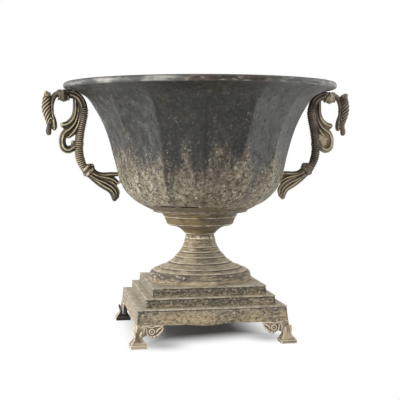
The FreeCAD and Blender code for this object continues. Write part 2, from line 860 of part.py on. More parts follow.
def screw_shape(lift):
    """A pan-head screw whose head stands a lift above its seat."""
    head = Part.makeCylinder(SIZES["screw_head_radius"], SIZES["screw_head_height"])
    crown = [edge for edge in head.Edges if edge.BoundBox.ZMin > 0]
    head = head.makeFillet(HEAD_ROUND_SHARE * SIZES["screw_head_height"], crown)
    head.translate(FreeCAD.Vector(0, 0, lift))
    return head.fuse(bar_below(SIZES["screw_radius"], SIZES["screw_length"] - lift, lift))


def washer_shape():
    """A small washer on its seat."""
    disc = Part.makeCylinder(SIZES["screw_washer_radius"], SIZES["screw_washer_thickness"])
    hole_radius = SIZES["screw_radius"] + SIZES["seat_gap"]
    return disc.cut(Part.makeCylinder(hole_radius, SIZES["screw_washer_thickness"]))


def bowl_shell(screw_holes):
    """The bowl's sheet wall with its rolled mouth and the holes for rod and screws."""
    shell = panel_solid().cut(panel_solid(-SIZES["sheet_wall"]))
    bead = roll_ring(SIZES["roll_radius"])
    wire_space = roll_ring(SIZES["roll_radius"] - SIZES["sheet_wall"])
    floor = FreeCAD.Vector(0, 0, bowl_base.number - SIZES["cut_overrun"])
    rod_hole = Part.makeCylinder(rod_hole_radius.number, 3 * SIZES["cut_overrun"], floor)
    return shell.fuse(bead).cut(wire_space).cut(rod_hole).cut(screw_holes)


# Plinth and feet
step_tray("step_base", size("foot_height"), size("apron_height"), size("apron_width"), size("apron_flare"))
step_tray("step_middle", apron_top, size("middle_step_height"), size("middle_step_width"), ZERO)
step_tray("step_top", middle_top, size("top_step_height"), size("top_step_width"), ZERO)
for quarter, corner_name in enumerate(("back_right", "back_left", "front_left", "front_right")):
    foot("foot_" + corner_name, quarter)

# Stem
stem_trumpet()
neck_collar()
stem_cup()
seam_tacks()

# Tie rod with its nuts and washers
bowl_floor = bowl_base + size("sheet_wall")
base_ceiling = apron_top - size("sheet_wall")
washer = size("washer_thickness")
nut_height = size("nut_height")
ring("bowl_washer", size("bowl_washer_radius"), rod_hole_radius, washer, bowl_floor)
hex_nut("bowl_nut", bowl_floor + washer)
ring("base_washer", size("base_washer_radius"), rod_hole_radius, washer, base_ceiling - washer)
hex_nut("base_nut", base_ceiling - washer - nut_height)
rod_low = base_ceiling - washer - nut_height - size("rod_stand_out")
tie_rod(rod_low, bowl_floor + washer + nut_height + size("rod_stand_out"))

# Bowl, handles and their screws
seats = screw_seats()
hole_radius = SIZES["screw_radius"] + SIZES["seat_gap"]
thread_radius = SIZES["screw_radius"] + SIZES["slide_gap"]
overrun = SIZES["cut_overrun"]
holes = []
threads = []
for seat, normal in seats.values():
    holes += both_sides(aimed(bar_below(hole_radius, 2 * overrun, overrun), seat, normal))
    threads.append(aimed(bar_below(thread_radius, SIZES["screw_length"] + overrun, overrun), seat, normal))
feature("bowl_shell", bowl_shell(holes))
rim_wire()
casting = handle_casting().cut(threads)
feature("handle_right", casting)
feature("handle_left", casting, FULL_TURN_DEGREES / 2)
rim_screws = both_sides(aimed(screw_shape(0.0), *seats["rim"]))
tail_screws = both_sides(aimed(screw_shape(SIZES["screw_washer_thickness"]), *seats["tail"]))
tail_washers = both_sides(aimed(washer_shape(), *seats["tail"]))
feature("handle_rim_screws", Part.makeCompound(rim_screws))
feature("handle_tail_screws", Part.makeCompound(tail_screws))
feature("handle_tail_washers", Part.makeCompound(tail_washers))

# Check every object, then write one file for each sub-part
doc.recompute()
for thing in doc.Objects:
    if "Invalid" in thing.State or "Error" in thing.State:
        raise RuntimeError("%s failed: %s" % (thing.Name, thing.State))
for thing in subparts:
    if thing.Shape.isNull() or not thing.Shape.isValid():
        raise RuntimeError("%s has no valid shape" % thing.Label)
os.makedirs("parts", exist_ok=True)
for thing in subparts:
    thing.Shape.exportStep("parts/%s.step" % thing.Label)
    print("%-20s solids %d volume %.1f" % (thing.Label, len(thing.Shape.Solids), thing.Shape.Volume))
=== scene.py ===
import logging
import math
from collections.abc import Sequence
from dataclasses import dataclass, field
from enum import Enum
from functools import cached_property

import bpy
import numpy as np
from mathutils import Matrix, Vector, noise


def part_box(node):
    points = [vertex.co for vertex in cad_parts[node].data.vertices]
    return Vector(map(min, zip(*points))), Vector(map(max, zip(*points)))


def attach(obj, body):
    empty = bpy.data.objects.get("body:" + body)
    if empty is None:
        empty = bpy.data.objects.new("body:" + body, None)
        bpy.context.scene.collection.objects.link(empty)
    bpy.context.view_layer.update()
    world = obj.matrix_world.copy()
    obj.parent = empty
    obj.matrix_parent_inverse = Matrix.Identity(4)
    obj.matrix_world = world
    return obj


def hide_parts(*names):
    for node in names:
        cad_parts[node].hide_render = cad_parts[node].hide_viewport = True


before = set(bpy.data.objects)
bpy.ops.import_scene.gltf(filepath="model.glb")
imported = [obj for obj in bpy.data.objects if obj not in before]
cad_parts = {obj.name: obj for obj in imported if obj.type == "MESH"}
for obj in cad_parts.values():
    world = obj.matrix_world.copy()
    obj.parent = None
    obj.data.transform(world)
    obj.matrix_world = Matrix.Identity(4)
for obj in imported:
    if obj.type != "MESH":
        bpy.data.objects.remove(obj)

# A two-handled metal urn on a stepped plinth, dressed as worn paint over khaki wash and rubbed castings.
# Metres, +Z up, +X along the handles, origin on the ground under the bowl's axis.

LOG = logging.getLogger("urn")
BODY = "root"
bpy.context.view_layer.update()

Piece = bpy.types.Object
Array = np.ndarray
Spot = tuple[float, float]
Triple = tuple[float, float, float]
Knot = tuple[float, float, float, float]
Spots = tuple[Spot, ...]
Triples = tuple[Triple, ...]
Knots = tuple[Knot, ...]
Colour = Triple
MILLIMETRE = 0.001
QUARTER_TURN = math.pi / 2
HALF_TURN = math.pi
FULL_TURN = 2 * math.pi
NOISE_MIDDLE = 0.5
MERGE_REACH = 1e-6
KEEN_TURN = math.radians(12)
MOST_ROUNDED = 0.45
WHITE = (1.0, 1.0, 1.0)
BLOT_TINT = (0.36, 0.33, 0.29)
PAINT_DEPTH = 0.0006
PAINT_SHINE = 0.36


def clamp(values: Array) -> Array:
    """Keep values between 0 and 1."""
    return np.clip(values, 0, 1)


def bell(away: Array, width: float) -> Array:
    """1 where there is no distance, falling off smoothly over a width."""
    return np.exp(-(away / width) ** 2)


def ramp(values: Array, stops: Sequence[Spot]) -> Array:
    """Read a line through (place, level) stops at each value."""
    return np.interp(values, *zip(*stops))


def span(values: Array, start: float, end: float, fade: float) -> Array:
    """1 between two ends, with a short rise and fall just inside them."""
    return clamp((values - start) / fade) * clamp((end - values) / fade)


def from_axis(points: Array) -> Array:
    """How far points lie from the urn's axis."""
    return np.hypot(points[:, 0], points[:, 1])


def azimuths(points: Array) -> Array:
    """The directions in which points lie from the axis, in degrees."""
    return np.degrees(np.arctan2(points[:, 1], points[:, 0]))


def turned(degrees: Array, middle: float) -> Array:
    """How far directions are turned from a middle one, from -180 to 180 degrees."""
    return (degrees - middle + 180) % 360 - 180


def from_place(points: Array, x: float, z: float) -> Array:
    """How far points lie from a place in the plane of the handles."""
    return np.hypot(points[:, 0] - x, points[:, 2] - z)


class Value:
    """A shader value: Python's own operators on it add Math nodes."""

    def __init__(self, recipe: "Recipe", socket: bpy.types.NodeSocket) -> None:
        """Wrap one output socket of a recipe."""
        self.recipe = recipe
        self.socket = socket

    def math(self, operation: str, first: "Value | float", second: "Value | float") -> "Value":
        """Add one Math node and hand back its result."""
        return self.recipe.node("ShaderNodeMath", {"operation": operation}, {0: first, 1: second})

    def __add__(self, other: "Value | float") -> "Value":
        """Add."""
        return self.math("ADD", self, other)

    def __radd__(self, other: float) -> "Value":
        """Add to a number."""
        return self.math("ADD", other, self)

    def __sub__(self, other: "Value | float") -> "Value":
        """Take away."""
        return self.math("SUBTRACT", self, other)

    def __rsub__(self, other: float) -> "Value":
        """Take away from a number."""
        return self.math("SUBTRACT", other, self)

    def __mul__(self, other: "Value | float") -> "Value":
        """Multiply."""
        return self.math("MULTIPLY", self, other)

    def __rmul__(self, other: float) -> "Value":
        """Multiply a number."""
        return self.math("MULTIPLY", other, self)

    def larger(self, other: "Value | float") -> "Value":
        """The larger of two values."""
        return self.math("MAXIMUM", self, other)

    def swing(self, share: "Value | float") -> "Value":
        """How far a noise leaves its middle, times a share."""
        return (self - NOISE_MIDDLE) * share

    def ease(self, low: float, high: float) -> "Value":
        """Rise smoothly from 0 at low to 1 at high."""
        settings = {"interpolation_type": "SMOOTHSTEP"}
        return self.recipe.node("ShaderNodeMapRange", settings, {0: self, 1: low, 2: high, 3: 0.0, 4: 1.0})


class Recipe:
    """The node tree of one material, or of the world."""

    def __init__(self, owner: bpy.types.Material | bpy.types.World) -> None:
        """Start with an empty tree."""
        owner.use_nodes = True
        self.tree = owner.node_tree
        self.tree.nodes.clear()
        self.colour: Value | None = None

    @cached_property
    def place(self) -> Value:
        """The piece's own coordinates."""
        return self.node("ShaderNodeTexCoord", output="Object")

    def node(
        self,
        kind: str,
        settings: dict[str, object] | None = None,
        inputs: dict[int | str, object] | None = None,
        output: int | str = 0,
    ) -> Value:
        """Add any node.

        Args:
            kind: the node's type.
            settings: its own settings, which are set first.
            inputs: values or links for its sockets.
            output: which output to hand back.

        Returns:
            That output.
        """
        made = self.tree.nodes.new(kind)
        for name, setting in (settings or {}).items():
            setattr(made, name, setting)
        for key, value in (inputs or {}).items():
            socket = made.inputs[key]
            if isinstance(value, Value):
                self.tree.links.new(value.socket, socket)
            elif socket.type == "RGBA":
                socket.default_value = (*value, 1.0)
            else:
                socket.default_value = value
        return Value(self, made.outputs[output])

    def grain(
        self, feature: float, detail: float = 4.0, stretch: Sequence[float] = (1, 1, 1), harsh: float = 0.5
    ) -> Value:
        """Noise on the piece's own coordinates.

        Args:
            feature: the size of one blot, in metres.
            detail: how many finer layers it has.
            stretch: how much longer the blots are along each axis.
            harsh: how strongly the finer layers show.

        Returns:
            A value around one half.
        """
        scale = tuple(1 / (feature * share) for share in stretch)
        place = self.node("ShaderNodeMapping", None, {"Vector": self.place, "Scale": scale})
        inputs = {"Vector": place, "Scale": 1.0, "Detail": detail, "Roughness": harsh}
        return self.node("ShaderNodeTexNoise", None, inputs)

    def blend(self, share: "Value | float", first: "Value | Colour", second: "Value | Colour") -> Value:
        """Mix two colours, where the share is how much of the second one shows."""
        return self.node("ShaderNodeMix", {"data_type": "RGBA"}, {0: share, 6: first, 7: second}, 2)

    def lay(self, share: "Value | float", tint: "Value | Colour") -> None:
        """Lay a colour over the one so far, where the share is how much of it shows."""
        self.colour = self.blend(share, self.colour, tint)

    def blot(self, feature: float, share: float, stretch: Sequence[float] = (1.0, 1.0, 1.5)) -> None:
        """Darken the colour so far in small blots.

        Args:
            feature: the size of one blot.
            share: how dark the blots are.
            stretch: how much longer they are along each axis.
        """
        blots = self.grain(feature, 4.0, stretch, 0.62).ease(0.47, 0.63) * share
        settings = {"data_type": "RGBA", "blend_type": "MULTIPLY"}
        self.colour = self.node("ShaderNodeMix", settings, {0: blots, 6: self.colour, 7: BLOT_TINT}, 2)

    def mark(self, name: str) -> Value:
        """A value kept on the piece's own points."""
        return self.node("ShaderNodeAttribute", {"attribute_name": name}, output="Fac")

    def part(self, vector: Value, axis: int) -> Value:
        """One part of a vector: 0 is x, 1 is y and 2 is z."""
        return self.node("ShaderNodeSeparateXYZ", None, {0: vector}, axis)

    def height(self) -> Value:
        """Height above the ground."""
        return self.part(self.place, 2)

    def facing_up(self) -> Value:
        """How far the surface faces upwards, from -1 to 1."""
        return self.part(self.node("ShaderNodeNewGeometry", output="Normal"), 2)

    def relief(self, height: Value, depth: float, strength: float) -> Value:
        """Bump the normal by a height of about 0 to 1, where 1 stands for a depth in metres."""
        return self.node("ShaderNodeBump", None, {"Height": height, "Distance": depth, "Strength": strength})

    def close(self, **sockets: object) -> None:
        """End in one Principled shader, whose sockets are named with _ for a space."""
        inputs = {name.replace("_", " "): value for name, value in sockets.items()}
        self.end(self.node("ShaderNodeBsdfPrincipled", None, inputs))

    def end(self, shader: Value, target: str = "ShaderNodeOutputMaterial") -> None:
        """Send a shader to the output of the tree."""
        output = self.tree.nodes.new(target)
        self.tree.links.new(shader.socket, output.inputs["Surface"])


class Streak(Enum):
    """Which way the paint's brushed and washed marks run."""

    DOWN = (1.0, 1.0, 9.0)
    ROUND = (9.0, 9.0, 1.0)


@dataclass(frozen=True)
class Finish:
    """What every finish has: a name, a slot name and a material that is mixed once."""

    name: str
    slot: str

    @cached_property
    def material(self) -> bpy.types.Material:
        """The finish as a material."""
        material = bpy.data.materials.new(self.name)
        self.fill(Recipe(material))
        return material

    def fill(self, mix: Recipe) -> None:
        """Mix the finish in an empty recipe."""
        raise NotImplementedError


@dataclass(frozen=True)
class WornPaint(Finish):
    """Dark paint worn through to a khaki wash, with pale chips, dark pits, dusty ledges and painted shade in
    its hollows.
    """

    coat: Colour
    coat_tint: Colour
    wash: Colour
    wash_stain: Colour
    warm_wash: Colour
    chip: Colour
    streak: float
    marks: Triple
    spots: float
    cover: float
    chip_level: float = 0.66
    dust: float = 0.0
    # Dark colour for pits and dirt, and for the painted shade in hollows.
    grime_and_shade: Colour = (0.034, 0.025, 0.016)

    def fill(self, mix: Recipe) -> None:
        """Mix the finish.

        Args:
            mix: the empty recipe.
        """
        blot = mix.grain(0.034, 5.0)
        streak = mix.grain(self.streak, 4.0, Streak.ROUND.value)
        fine = mix.grain(0.0031, 5.0, self.marks, 0.70)
        speck = mix.grain(0.0029, 3.0, self.marks)
        pit = mix.grain(0.0036, 3.0, self.marks).ease(0.55, 0.67)
        edge = mix.mark("edge")
        hollow = mix.mark("hollow")
        shade = mix.mark("shade")
        warm = mix.mark("warm")

        level = self.cover + shade * 0.55 + blot.swing(1.1) + streak.swing(1.2) + fine.swing(3.0)
        coated = level.ease(0.12, 0.98)
        stain = mix.grain(0.018, 5.0).ease(0.42, 0.66)
        wash = mix.blend(stain, self.wash, self.wash_stain)
        wash = mix.blend(streak.ease(0.52, 0.70) * 0.55, wash, self.chip)
        wash = mix.blend((warm + streak.swing(0.9) * warm).ease(0.0, 1.0), wash, self.warm_wash)
        coat = mix.blend(streak.ease(0.40, 0.68), self.coat, self.coat_tint)
        mix.colour = mix.blend(coated, wash, coat)

        chipped = speck + blot.swing(0.30) + edge * 0.15 - warm * 0.08
        chipped = chipped.ease(self.chip_level, self.chip_level + 0.06)
        mix.lay(chipped * 0.92, self.chip)
        mix.lay(pit * self.spots, self.grime_and_shade)
        # On the plinth, the edge mark also carries painted light on its left faces.
        worn = (edge * 1.3 + fine.swing(1.7)).ease(0.30, 0.85)
        mix.lay(worn * 0.85, self.chip)
        if self.dust:
            settled = mix.facing_up().ease(0.35, 0.95) * (0.55 + fine.swing(1.8))
            mix.lay(settled.ease(0.15, 0.75) * self.dust, self.chip)
        # The hollow mark holds painted shade under lips and down corners as well as dirt; both are laid in
        # the dark colour.
        grime_and_shade = (hollow * 1.15 + fine.swing(0.9)).ease(0.12, 0.85)
        mix.lay(grime_and_shade * 0.80, self.grime_and_shade)
        mix.blot(0.0040, self.spots, self.marks)

        rough = 0.70 - coated * 0.20 + fine.swing(0.30)
        height = coated * 0.4 + fine * 0.6 - chipped * 0.4 - pit * 0.4
        mix.close(
            Base_Color=mix.colour,
            Roughness=rough,
            Normal=mix.relief(height, PAINT_DEPTH, 0.6),
            Specular_IOR_Level=PAINT_SHINE,
        )


@dataclass(frozen=True)
class WeatheredBowl(Finish):
    """Charcoal paint that thins towards the bottom to a brown primer, with khaki film, salt and pits, and
    painted light and shade on its panels.
    """

    coat_dark: Colour
    coat_grey_and_light: Colour
    coat_olive: Colour
    primer: Colour
    primer_mauve: Colour
    khaki: Colour
    khaki_brown: Colour
    khaki_mauve: Colour
    lap_khaki: Colour
    salt: Colour
    soot_and_shade: Colour
    # Near black for pits, dark lines on the panel edges and the painted shade in the seam's slits.
    rust: Colour
    rim_grey: Colour
    bare: Colour
    sound_height: float
    worn_height: float
    rim_height: float
    crest_height: float

    def fill(self, mix: Recipe) -> None:
        """Mix the finish.

        Args:
            mix: the empty recipe.
        """
        blot = mix.grain(0.050, 4.0)
        cloud = mix.grain(0.017, 5.0)
        streak = mix.grain(0.0065, 4.0, Streak.DOWN.value)
        band = mix.grain(0.016, 3.0, (1.0, 1.0, 5.0))
        fine = mix.grain(0.0052, 6.0, harsh=0.64)
        speck = mix.grain(0.0028, 4.0, (1.0, 1.0, 1.5), 0.6)
        hue = mix.grain(0.011, 4.0, (1.0, 1.0, 2.5))
        top = mix.height().ease(self.rim_height - 0.026, self.rim_height - 0.006)
        # Partly grey paint and partly painted light and shade on the panels, weaker near the rim.
        tone = mix.mark("tone") * (1.0 - top * 0.50)
        scrape = mix.mark("scrape")
        arris = mix.mark("arris")
        rusty = mix.mark("rust")
        low = 1.0 - mix.height().ease(self.worn_height, self.sound_height)
        aged = low * 1.36 - 0.24 + mix.mark("wear") + blot.swing(0.6) + streak.swing(0.5) + scrape * 0.4
        aged = aged + band.swing(1.2)

        coat = mix.blend(cloud.ease(0.42, 0.64), self.coat_dark, self.coat_olive)
        under = 1.0 - mix.height().ease(self.sound_height - 0.010, self.sound_height + 0.030)
        greyed = tone + streak.swing(0.75 + under * 0.95) + cloud.swing(1.2) * tone
        # Painted light and shade: the coat turns a lighter grey where the panel mark is high.
        coat = mix.blend(greyed.ease(0.0, 1.0), coat, self.coat_grey_and_light)
        grit = mix.grain(0.0036, 3.0, harsh=0.65).ease(0.52, 0.70)
        coat = mix.blend(grit * (0.12 + under * 0.05), coat, self.khaki)
        primer = mix.blend(cloud.ease(0.40, 0.62), self.primer, self.primer_mauve)
        mix.colour = mix.blend(aged.ease(0.10, 0.85) * 0.85, coat, primer)
        thread = mix.grain(0.0040, 3.0, (1.0, 1.0, 7.0))
        film = (fine + aged * 0.33 + scrape * 0.06 + thread.swing(0.35)).ease(0.64, 0.95)
        khaki = mix.blend(rusty.ease(0.25, 1.0) * 0.9, self.khaki, self.khaki_brown)
        khaki = mix.blend(hue.ease(0.44, 0.60) * 0.6, khaki, self.khaki_mauve)
        dusting = (mix.grain(0.0038, 4.0, harsh=0.70) + aged * 0.18).ease(0.54, 0.74)
        mix.lay(dusting * 0.25, self.salt)
        mix.lay(film * 0.85, khaki)
        salted = (speck + aged * 0.110 + streak.swing(0.34) + scrape * 0.04).ease(0.665, 0.755)
        mix.lay(salted * 0.85, self.salt)
        pit = (mix.grain(0.0034, 3.0, (1.3, 1.3, 0.9)) + aged * 0.05).ease(0.56, 0.68)
        mix.lay(pit * 0.70, self.soot_and_shade)
        drip = mix.height().ease(self.rim_height - 0.022, self.rim_height - 0.004) * rusty.ease(0.3, 0.9)
        mix.lay(drip * streak.ease(0.46, 0.60) * 0.45, self.rust)
        mix.lay(arris * (0.40 + cloud.swing(1.5)).ease(0.1, 0.5) * 0.85, self.soot_and_shade)
        mix.blot(0.0070, 0.50)
        mix.lay(mix.mark("lap") * 0.9, self.lap_khaki)
        self.lay_rim(mix)
        # Painted shade: the hollow mark is the seam's open slits, laid near black where the gap lies in
        # shade.
        grime_and_shade = mix.mark("hollow").ease(0.15, 0.75)
        mix.lay(grime_and_shade * 0.95, self.soot_and_shade)
        rubbed = (mix.mark("edge") + fine.swing(1.4)).ease(0.35, 0.95)
        mix.lay(rubbed * 0.7, self.khaki)

        rough = 0.48 + film * 0.22 + fine.swing(0.25)
        height = fine * 0.6 + film * 0.35 + salted * 0.4 - pit * 0.4
        mix.close(
            Base_Color=mix.colour,
            Roughness=rough,
            Normal=mix.relief(height, PAINT_DEPTH, 0.5),
            Specular_IOR_Level=PAINT_SHINE,
        )

    def lay_rim(self, mix: Recipe) -> None:
        """Lay bare pale metal and rust over the rolled edge, and painted shade along its top.

        Args:
            mix: the recipe so far.
        """
        on_rim = mix.height().ease(self.rim_height, self.rim_height + 0.0016)
        crest_shade = mix.height().ease(self.crest_height - 0.0014, self.crest_height)
        patch = mix.grain(0.035, 3.0)
        band = mix.grain(0.0036, 4.0, Streak.ROUND.value)
        scratch = mix.grain(0.0018, 3.0, (5.0, 5.0, 1.0))
        bared = (band * 0.6 + scratch * 0.4 + patch.swing(0.7)).ease(0.38, 0.70)
        worn = mix.blend(bared, self.rim_grey, self.bare)
        rust = mix.blend(band.ease(0.40, 0.60), self.coat_olive, self.rust)
        rust = mix.blend(scratch.ease(0.54, 0.70) * 0.6, rust, self.bare)
        share = (mix.mark("rust") + patch.swing(0.9)).ease(0.25, 0.75)
        rim = mix.blend(share, worn, rust)
        # Painted shade: a dark band along the top of the roll.
        rim = mix.blend(crest_shade * 0.75, rim, self.coat_dark)
        mix.lay(on_rim * 0.94, rim)


@dataclass(frozen=True)
class RubbedCasting(Finish):
    """Dark cast metal whose high places are rubbed to a pale gold, with painted near-black shade where it is
    marked inside.
    """

    deep: Colour
    body: Colour
    rubbed: Colour
    rub: float
    metal: float
    painted_shade: Colour = (0.012, 0.010, 0.008)

    def fill(self, mix: Recipe) -> None:
        """Mix the finish.

        Args:
            mix: the empty recipe.
        """
        patch = mix.grain(0.020, 4.0)
        fine = mix.grain(0.0022, 4.0)
        edge = mix.mark("edge")
        hollow = mix.mark("hollow")
        body = mix.blend(patch.ease(0.40, 0.62), self.body, self.deep)
        high = (edge + patch.swing(0.7) + fine.swing(0.5) + self.rub).ease(0.25, 0.80)
        mix.colour = mix.blend(high * 0.92, body, self.rubbed)
        low = (hollow * 1.2 + fine.swing(0.5)).ease(0.18, 0.65)
        mix.lay(low * 0.92, self.deep)
        # Painted shade: faces marked inside go near black.
        mix.lay(mix.mark("inside"), self.painted_shade)
        rough = 0.58 - high * 0.16 + fine.swing(0.3)
        mix.close(
            Base_Color=mix.colour,
            Roughness=rough,
            Metallic=high * self.metal,
            Normal=mix.relief(fine, 0.0004, 0.5),
        )


@dataclass(frozen=True)
class TarnishedSteel(Finish):
    """Plain fasteners and solder gone dull and brown."""

    bright: Colour
    tarnish: Colour
    metal: float

    def fill(self, mix: Recipe) -> None:
        """Mix the finish.

        Args:
            mix: the empty recipe.
        """
        patch = mix.grain(0.006, 4.0)
        fine = mix.grain(0.0012, 3.0)
        dull = (patch + fine.swing(0.6)).ease(0.38, 0.62)
        mix.colour = mix.blend(dull, self.bright, self.tarnish)
        mix.close(
            Base_Color=mix.colour,
            Roughness=0.38 + dull * 0.34,
            Metallic=self.metal - dull * (0.6 * self.metal),
            Normal=mix.relief(fine, 0.0002, 0.4),
        )


# Modelling moves that every piece shares, made with Blender's own operators.


def deselect() -> None:
    """Deselect everything."""
    bpy.ops.object.select_all(action="DESELECT")


def start_edit() -> None:
    """Enter edit mode with everything selected."""
    bpy.ops.object.mode_set(mode="EDIT")
    bpy.ops.mesh.select_all(action="SELECT")


def end_edit() -> Piece:
    """Leave edit mode and hand back the piece."""
    bpy.ops.object.mode_set(mode="OBJECT")
    return bpy.context.object


def close_mesh() -> Piece:
    """Merge the doubles of the edited mesh, turn its faces outwards and leave edit mode."""
    bpy.ops.mesh.select_all(action="SELECT")
    bpy.ops.mesh.remove_doubles(threshold=MERGE_REACH)
    bpy.ops.mesh.normals_make_consistent(inside=False)
    return end_edit()


def rows_of(piece: Piece, name: str) -> Array:
    """One vector of each of the piece's points, as rows of x, y, z."""
    flat = np.empty(len(piece.data.vertices) * 3, np.float32)
    piece.data.vertices.foreach_get(name, flat)
    return flat.reshape(-1, 3).astype(float)


def points_of(piece: Piece) -> Array:
    """The places of the piece's points."""
    return rows_of(piece, "co")


def normals_of(piece: Piece) -> Array:
    """The directions that the piece's points face."""
    return rows_of(piece, "normal")


def move_points(piece: Piece, points: Array) -> None:
    """Put the piece's points in new places."""
    piece.data.vertices.foreach_set("co", points.astype(np.float32).ravel())
    piece.data.update()


def pick(*pieces: Piece) -> None:
    """Select pieces alone, with the first one active."""
    deselect()
    for piece in pieces:
        piece.select_set(True)
    bpy.context.view_layer.objects.active = pieces[0]


def settle(piece: Piece) -> Piece:
    """Move the object's place into its mesh and hand it back."""
    pick(piece)
    bpy.ops.object.transform_apply(location=True, rotation=True, scale=True)
    return piece


def apply_modifier(piece: Piece, kind: str, **settings: object) -> None:
    """Add a modifier and apply it.

    Args:
        piece: the piece it works on.
        kind: the modifier's type.
        settings: the modifier's settings.
    """
    bpy.context.view_layer.objects.active = piece
    modifier = piece.modifiers.new(kind.title(), kind)
    for name, setting in settings.items():
        setattr(modifier, name, setting)
    bpy.ops.object.modifier_apply(modifier=modifier.name)


def draw_outline(spots: Sequence[Spot]) -> Piece:
    """Draw a closed outline in the XZ plane by extruding one point along it.

    Args:
        spots: its (x, z) points.

    Returns:
        The outline, still in edit mode and selected.
    """
    deselect()
    first = spots[0]
    bpy.ops.mesh.primitive_plane_add(size=0.001, location=(0, 0, 0))
    start_edit()
    bpy.ops.mesh.merge(type="CENTER")
    bpy.ops.transform.translate(value=(first[0], 0, first[1]))
    for start, end in zip(spots, list(spots[1:]) + [first]):
        step = (end[0] - start[0], 0, end[1] - start[1])
        bpy.ops.mesh.extrude_vertices_move(TRANSFORM_OT_translate={"value": step})
    bpy.ops.mesh.select_all(action="SELECT")
    bpy.ops.mesh.remove_doubles(threshold=MERGE_REACH / 10)
    return bpy.context.object


def turn_outline(spots: Sequence[Spot], steps: int) -> Piece:
    """Turn a closed outline round the urn's axis.

    Args:
        spots: its (radius, height) points.
        steps: how many steps the turn takes.

    Returns:
        The turned piece.
    """
    draw_outline(spots)
    bpy.ops.mesh.spin(steps=steps, angle=FULL_TURN, center=(0, 0, 0), axis=(0, 0, 1))
    return close_mesh()


def join_pieces(pieces: Sequence[Piece]) -> Piece:
    """Join pieces into the first one."""
    pick(*pieces)
    bpy.ops.object.join()
    return bpy.context.object


def melt(pieces: Sequence[Piece], grain: float, smooth: int) -> Piece:
    """Melt joined pieces into one casting.

    Args:
        pieces: what it is made of.
        grain: the size of its faces.
        smooth: how often its steps are smoothed away.

    Returns:
        The casting.
    """
    casting = join_pieces(pieces)
    apply_modifier(casting, "REMESH", mode="VOXEL", voxel_size=grain)
    apply_modifier(casting, "SMOOTH", factor=0.5, iterations=smooth)
    return casting


def copy_turned(piece: Piece, angle: float) -> Piece:
    """Copy a piece with its own mesh, turned about the urn's axis."""
    twin = piece.copy()
    twin.data = piece.data.copy()
    twin.data.transform(Matrix.Rotation(angle, 4, "Z"))
    bpy.context.scene.collection.objects.link(twin)
    return twin


def wobble(points: Array, feature: float, seed: float) -> Array:
    """Smooth noise of about -1 to 1 at points, with swells of one size, moved by a seed."""
    shift = Vector((seed, seed * 1.7, seed * 0.3))
    return np.array([noise.noise(Vector(point) / feature + shift) for point in points])


def mark_wear(piece: Piece, rounds: int, reach: float) -> None:
    """Keep on each point how far it stands out of its surroundings, or sinks into them.

    Args:
        piece: the piece to mark.
        rounds: how far the surroundings reach, in rounds of smoothing.
        reach: the height that counts as fully out or in.
    """
    mesh = piece.data
    points = points_of(piece)
    count = len(points)
    ends = np.empty(len(mesh.edges) * 2, np.int32)
    mesh.edges.foreach_get("vertices", ends)
    first, second = ends.reshape(-1, 2).T
    links = np.maximum(np.bincount(ends, minlength=count), 1)
    smooth = points.copy()
    for _ in range(rounds):
        columns = []
        for axis in range(3):
            total = np.bincount(first, smooth[second, axis], count)
            total += np.bincount(second, smooth[first, axis], count)
            columns.append(total / links)
        smooth = np.stack(columns, 1)
    stand = ((points - smooth) * normals_of(piece)).sum(1) / reach
    keep_marks(piece, edge=clamp(stand), hollow=clamp(-stand))


def keep_marks(piece: Piece, **marks: Array) -> None:
    """Keep named values on each point of a piece."""
    kept = piece.data.attributes
    for name, values in marks.items():
        mark = kept.get(name) or kept.new(name, "FLOAT", "POINT")
        mark.data.foreach_set("value", values.astype(np.float32))


def read_mark(piece: Piece, name: str) -> Array:
    """The values that were kept on a piece's points."""
    values = np.empty(len(piece.data.vertices), np.float32)
    piece.data.attributes[name].data.foreach_get("value", values)
    return values


def dress(piece: Piece, name: str, finish: Finish, *nodes: str) -> None:
    """Name, smooth and paint a finished piece, and seat it on its body.

    Args:
        piece: the finished piece.
        name: its name.
        finish: its finish.
        nodes: the nodes that it stands for.
    """
    piece.name = name
    piece.data.name = name
    piece.data.materials.clear()
    piece.data.materials.append(finish.material)
    pick(piece)
    bpy.ops.object.shade_smooth()
    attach(piece, BODY)
    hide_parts(*nodes)
    LOG.info("%s: %d faces", name, len(piece.data.polygons))


# Outlines worked out from a few points.


def smooth_line(knots: Sequence[Sequence[float]], cuts: int) -> list[tuple[float, ...]]:
    """Run a smooth line through knots.

    Args:
        knots: points with any number of values.
        cuts: how many steps each span takes.

    Returns:
        The points of the line.
    """
    rows = np.array(knots, float)
    padded = np.vstack([2 * rows[0] - rows[1], rows, 2 * rows[-1] - rows[-2]])
    line = []
    for index in range(1, len(padded) - 2):
        before, start, end, after = padded[index - 1:index + 3]
        for cut in range(cuts):
            t = cut / cuts
            bend = (2 * before - 5 * start + 4 * end - after) * t * t
            twist = (3 * start - before - 3 * end + after) * t ** 3
            line.append(tuple(0.5 * (2 * start + (end - before) * t + bend + twist)))
    line.append(tuple(rows[-1]))
    return line


def arc(start: Spot, end: Spot, bulge: float, cuts: int) -> list[Spot]:
    """A shallow arc from start to end.

    Args:
        start: its first point.
        end: its last point.
        bulge: its height over half its chord, to the right of the way.
        cuts: how many steps it takes.

    Returns:
        Its points, without the last one.
    """
    run = end[0] - start[0]
    rise = end[1] - start[1]
    spots = []
    for cut in range(cuts):
        t = cut / cuts
        lift = bulge * 2 * t * (1 - t)
        spots.append((start[0] + run * t + rise * lift, start[1] + rise * t - run * lift))
    return spots


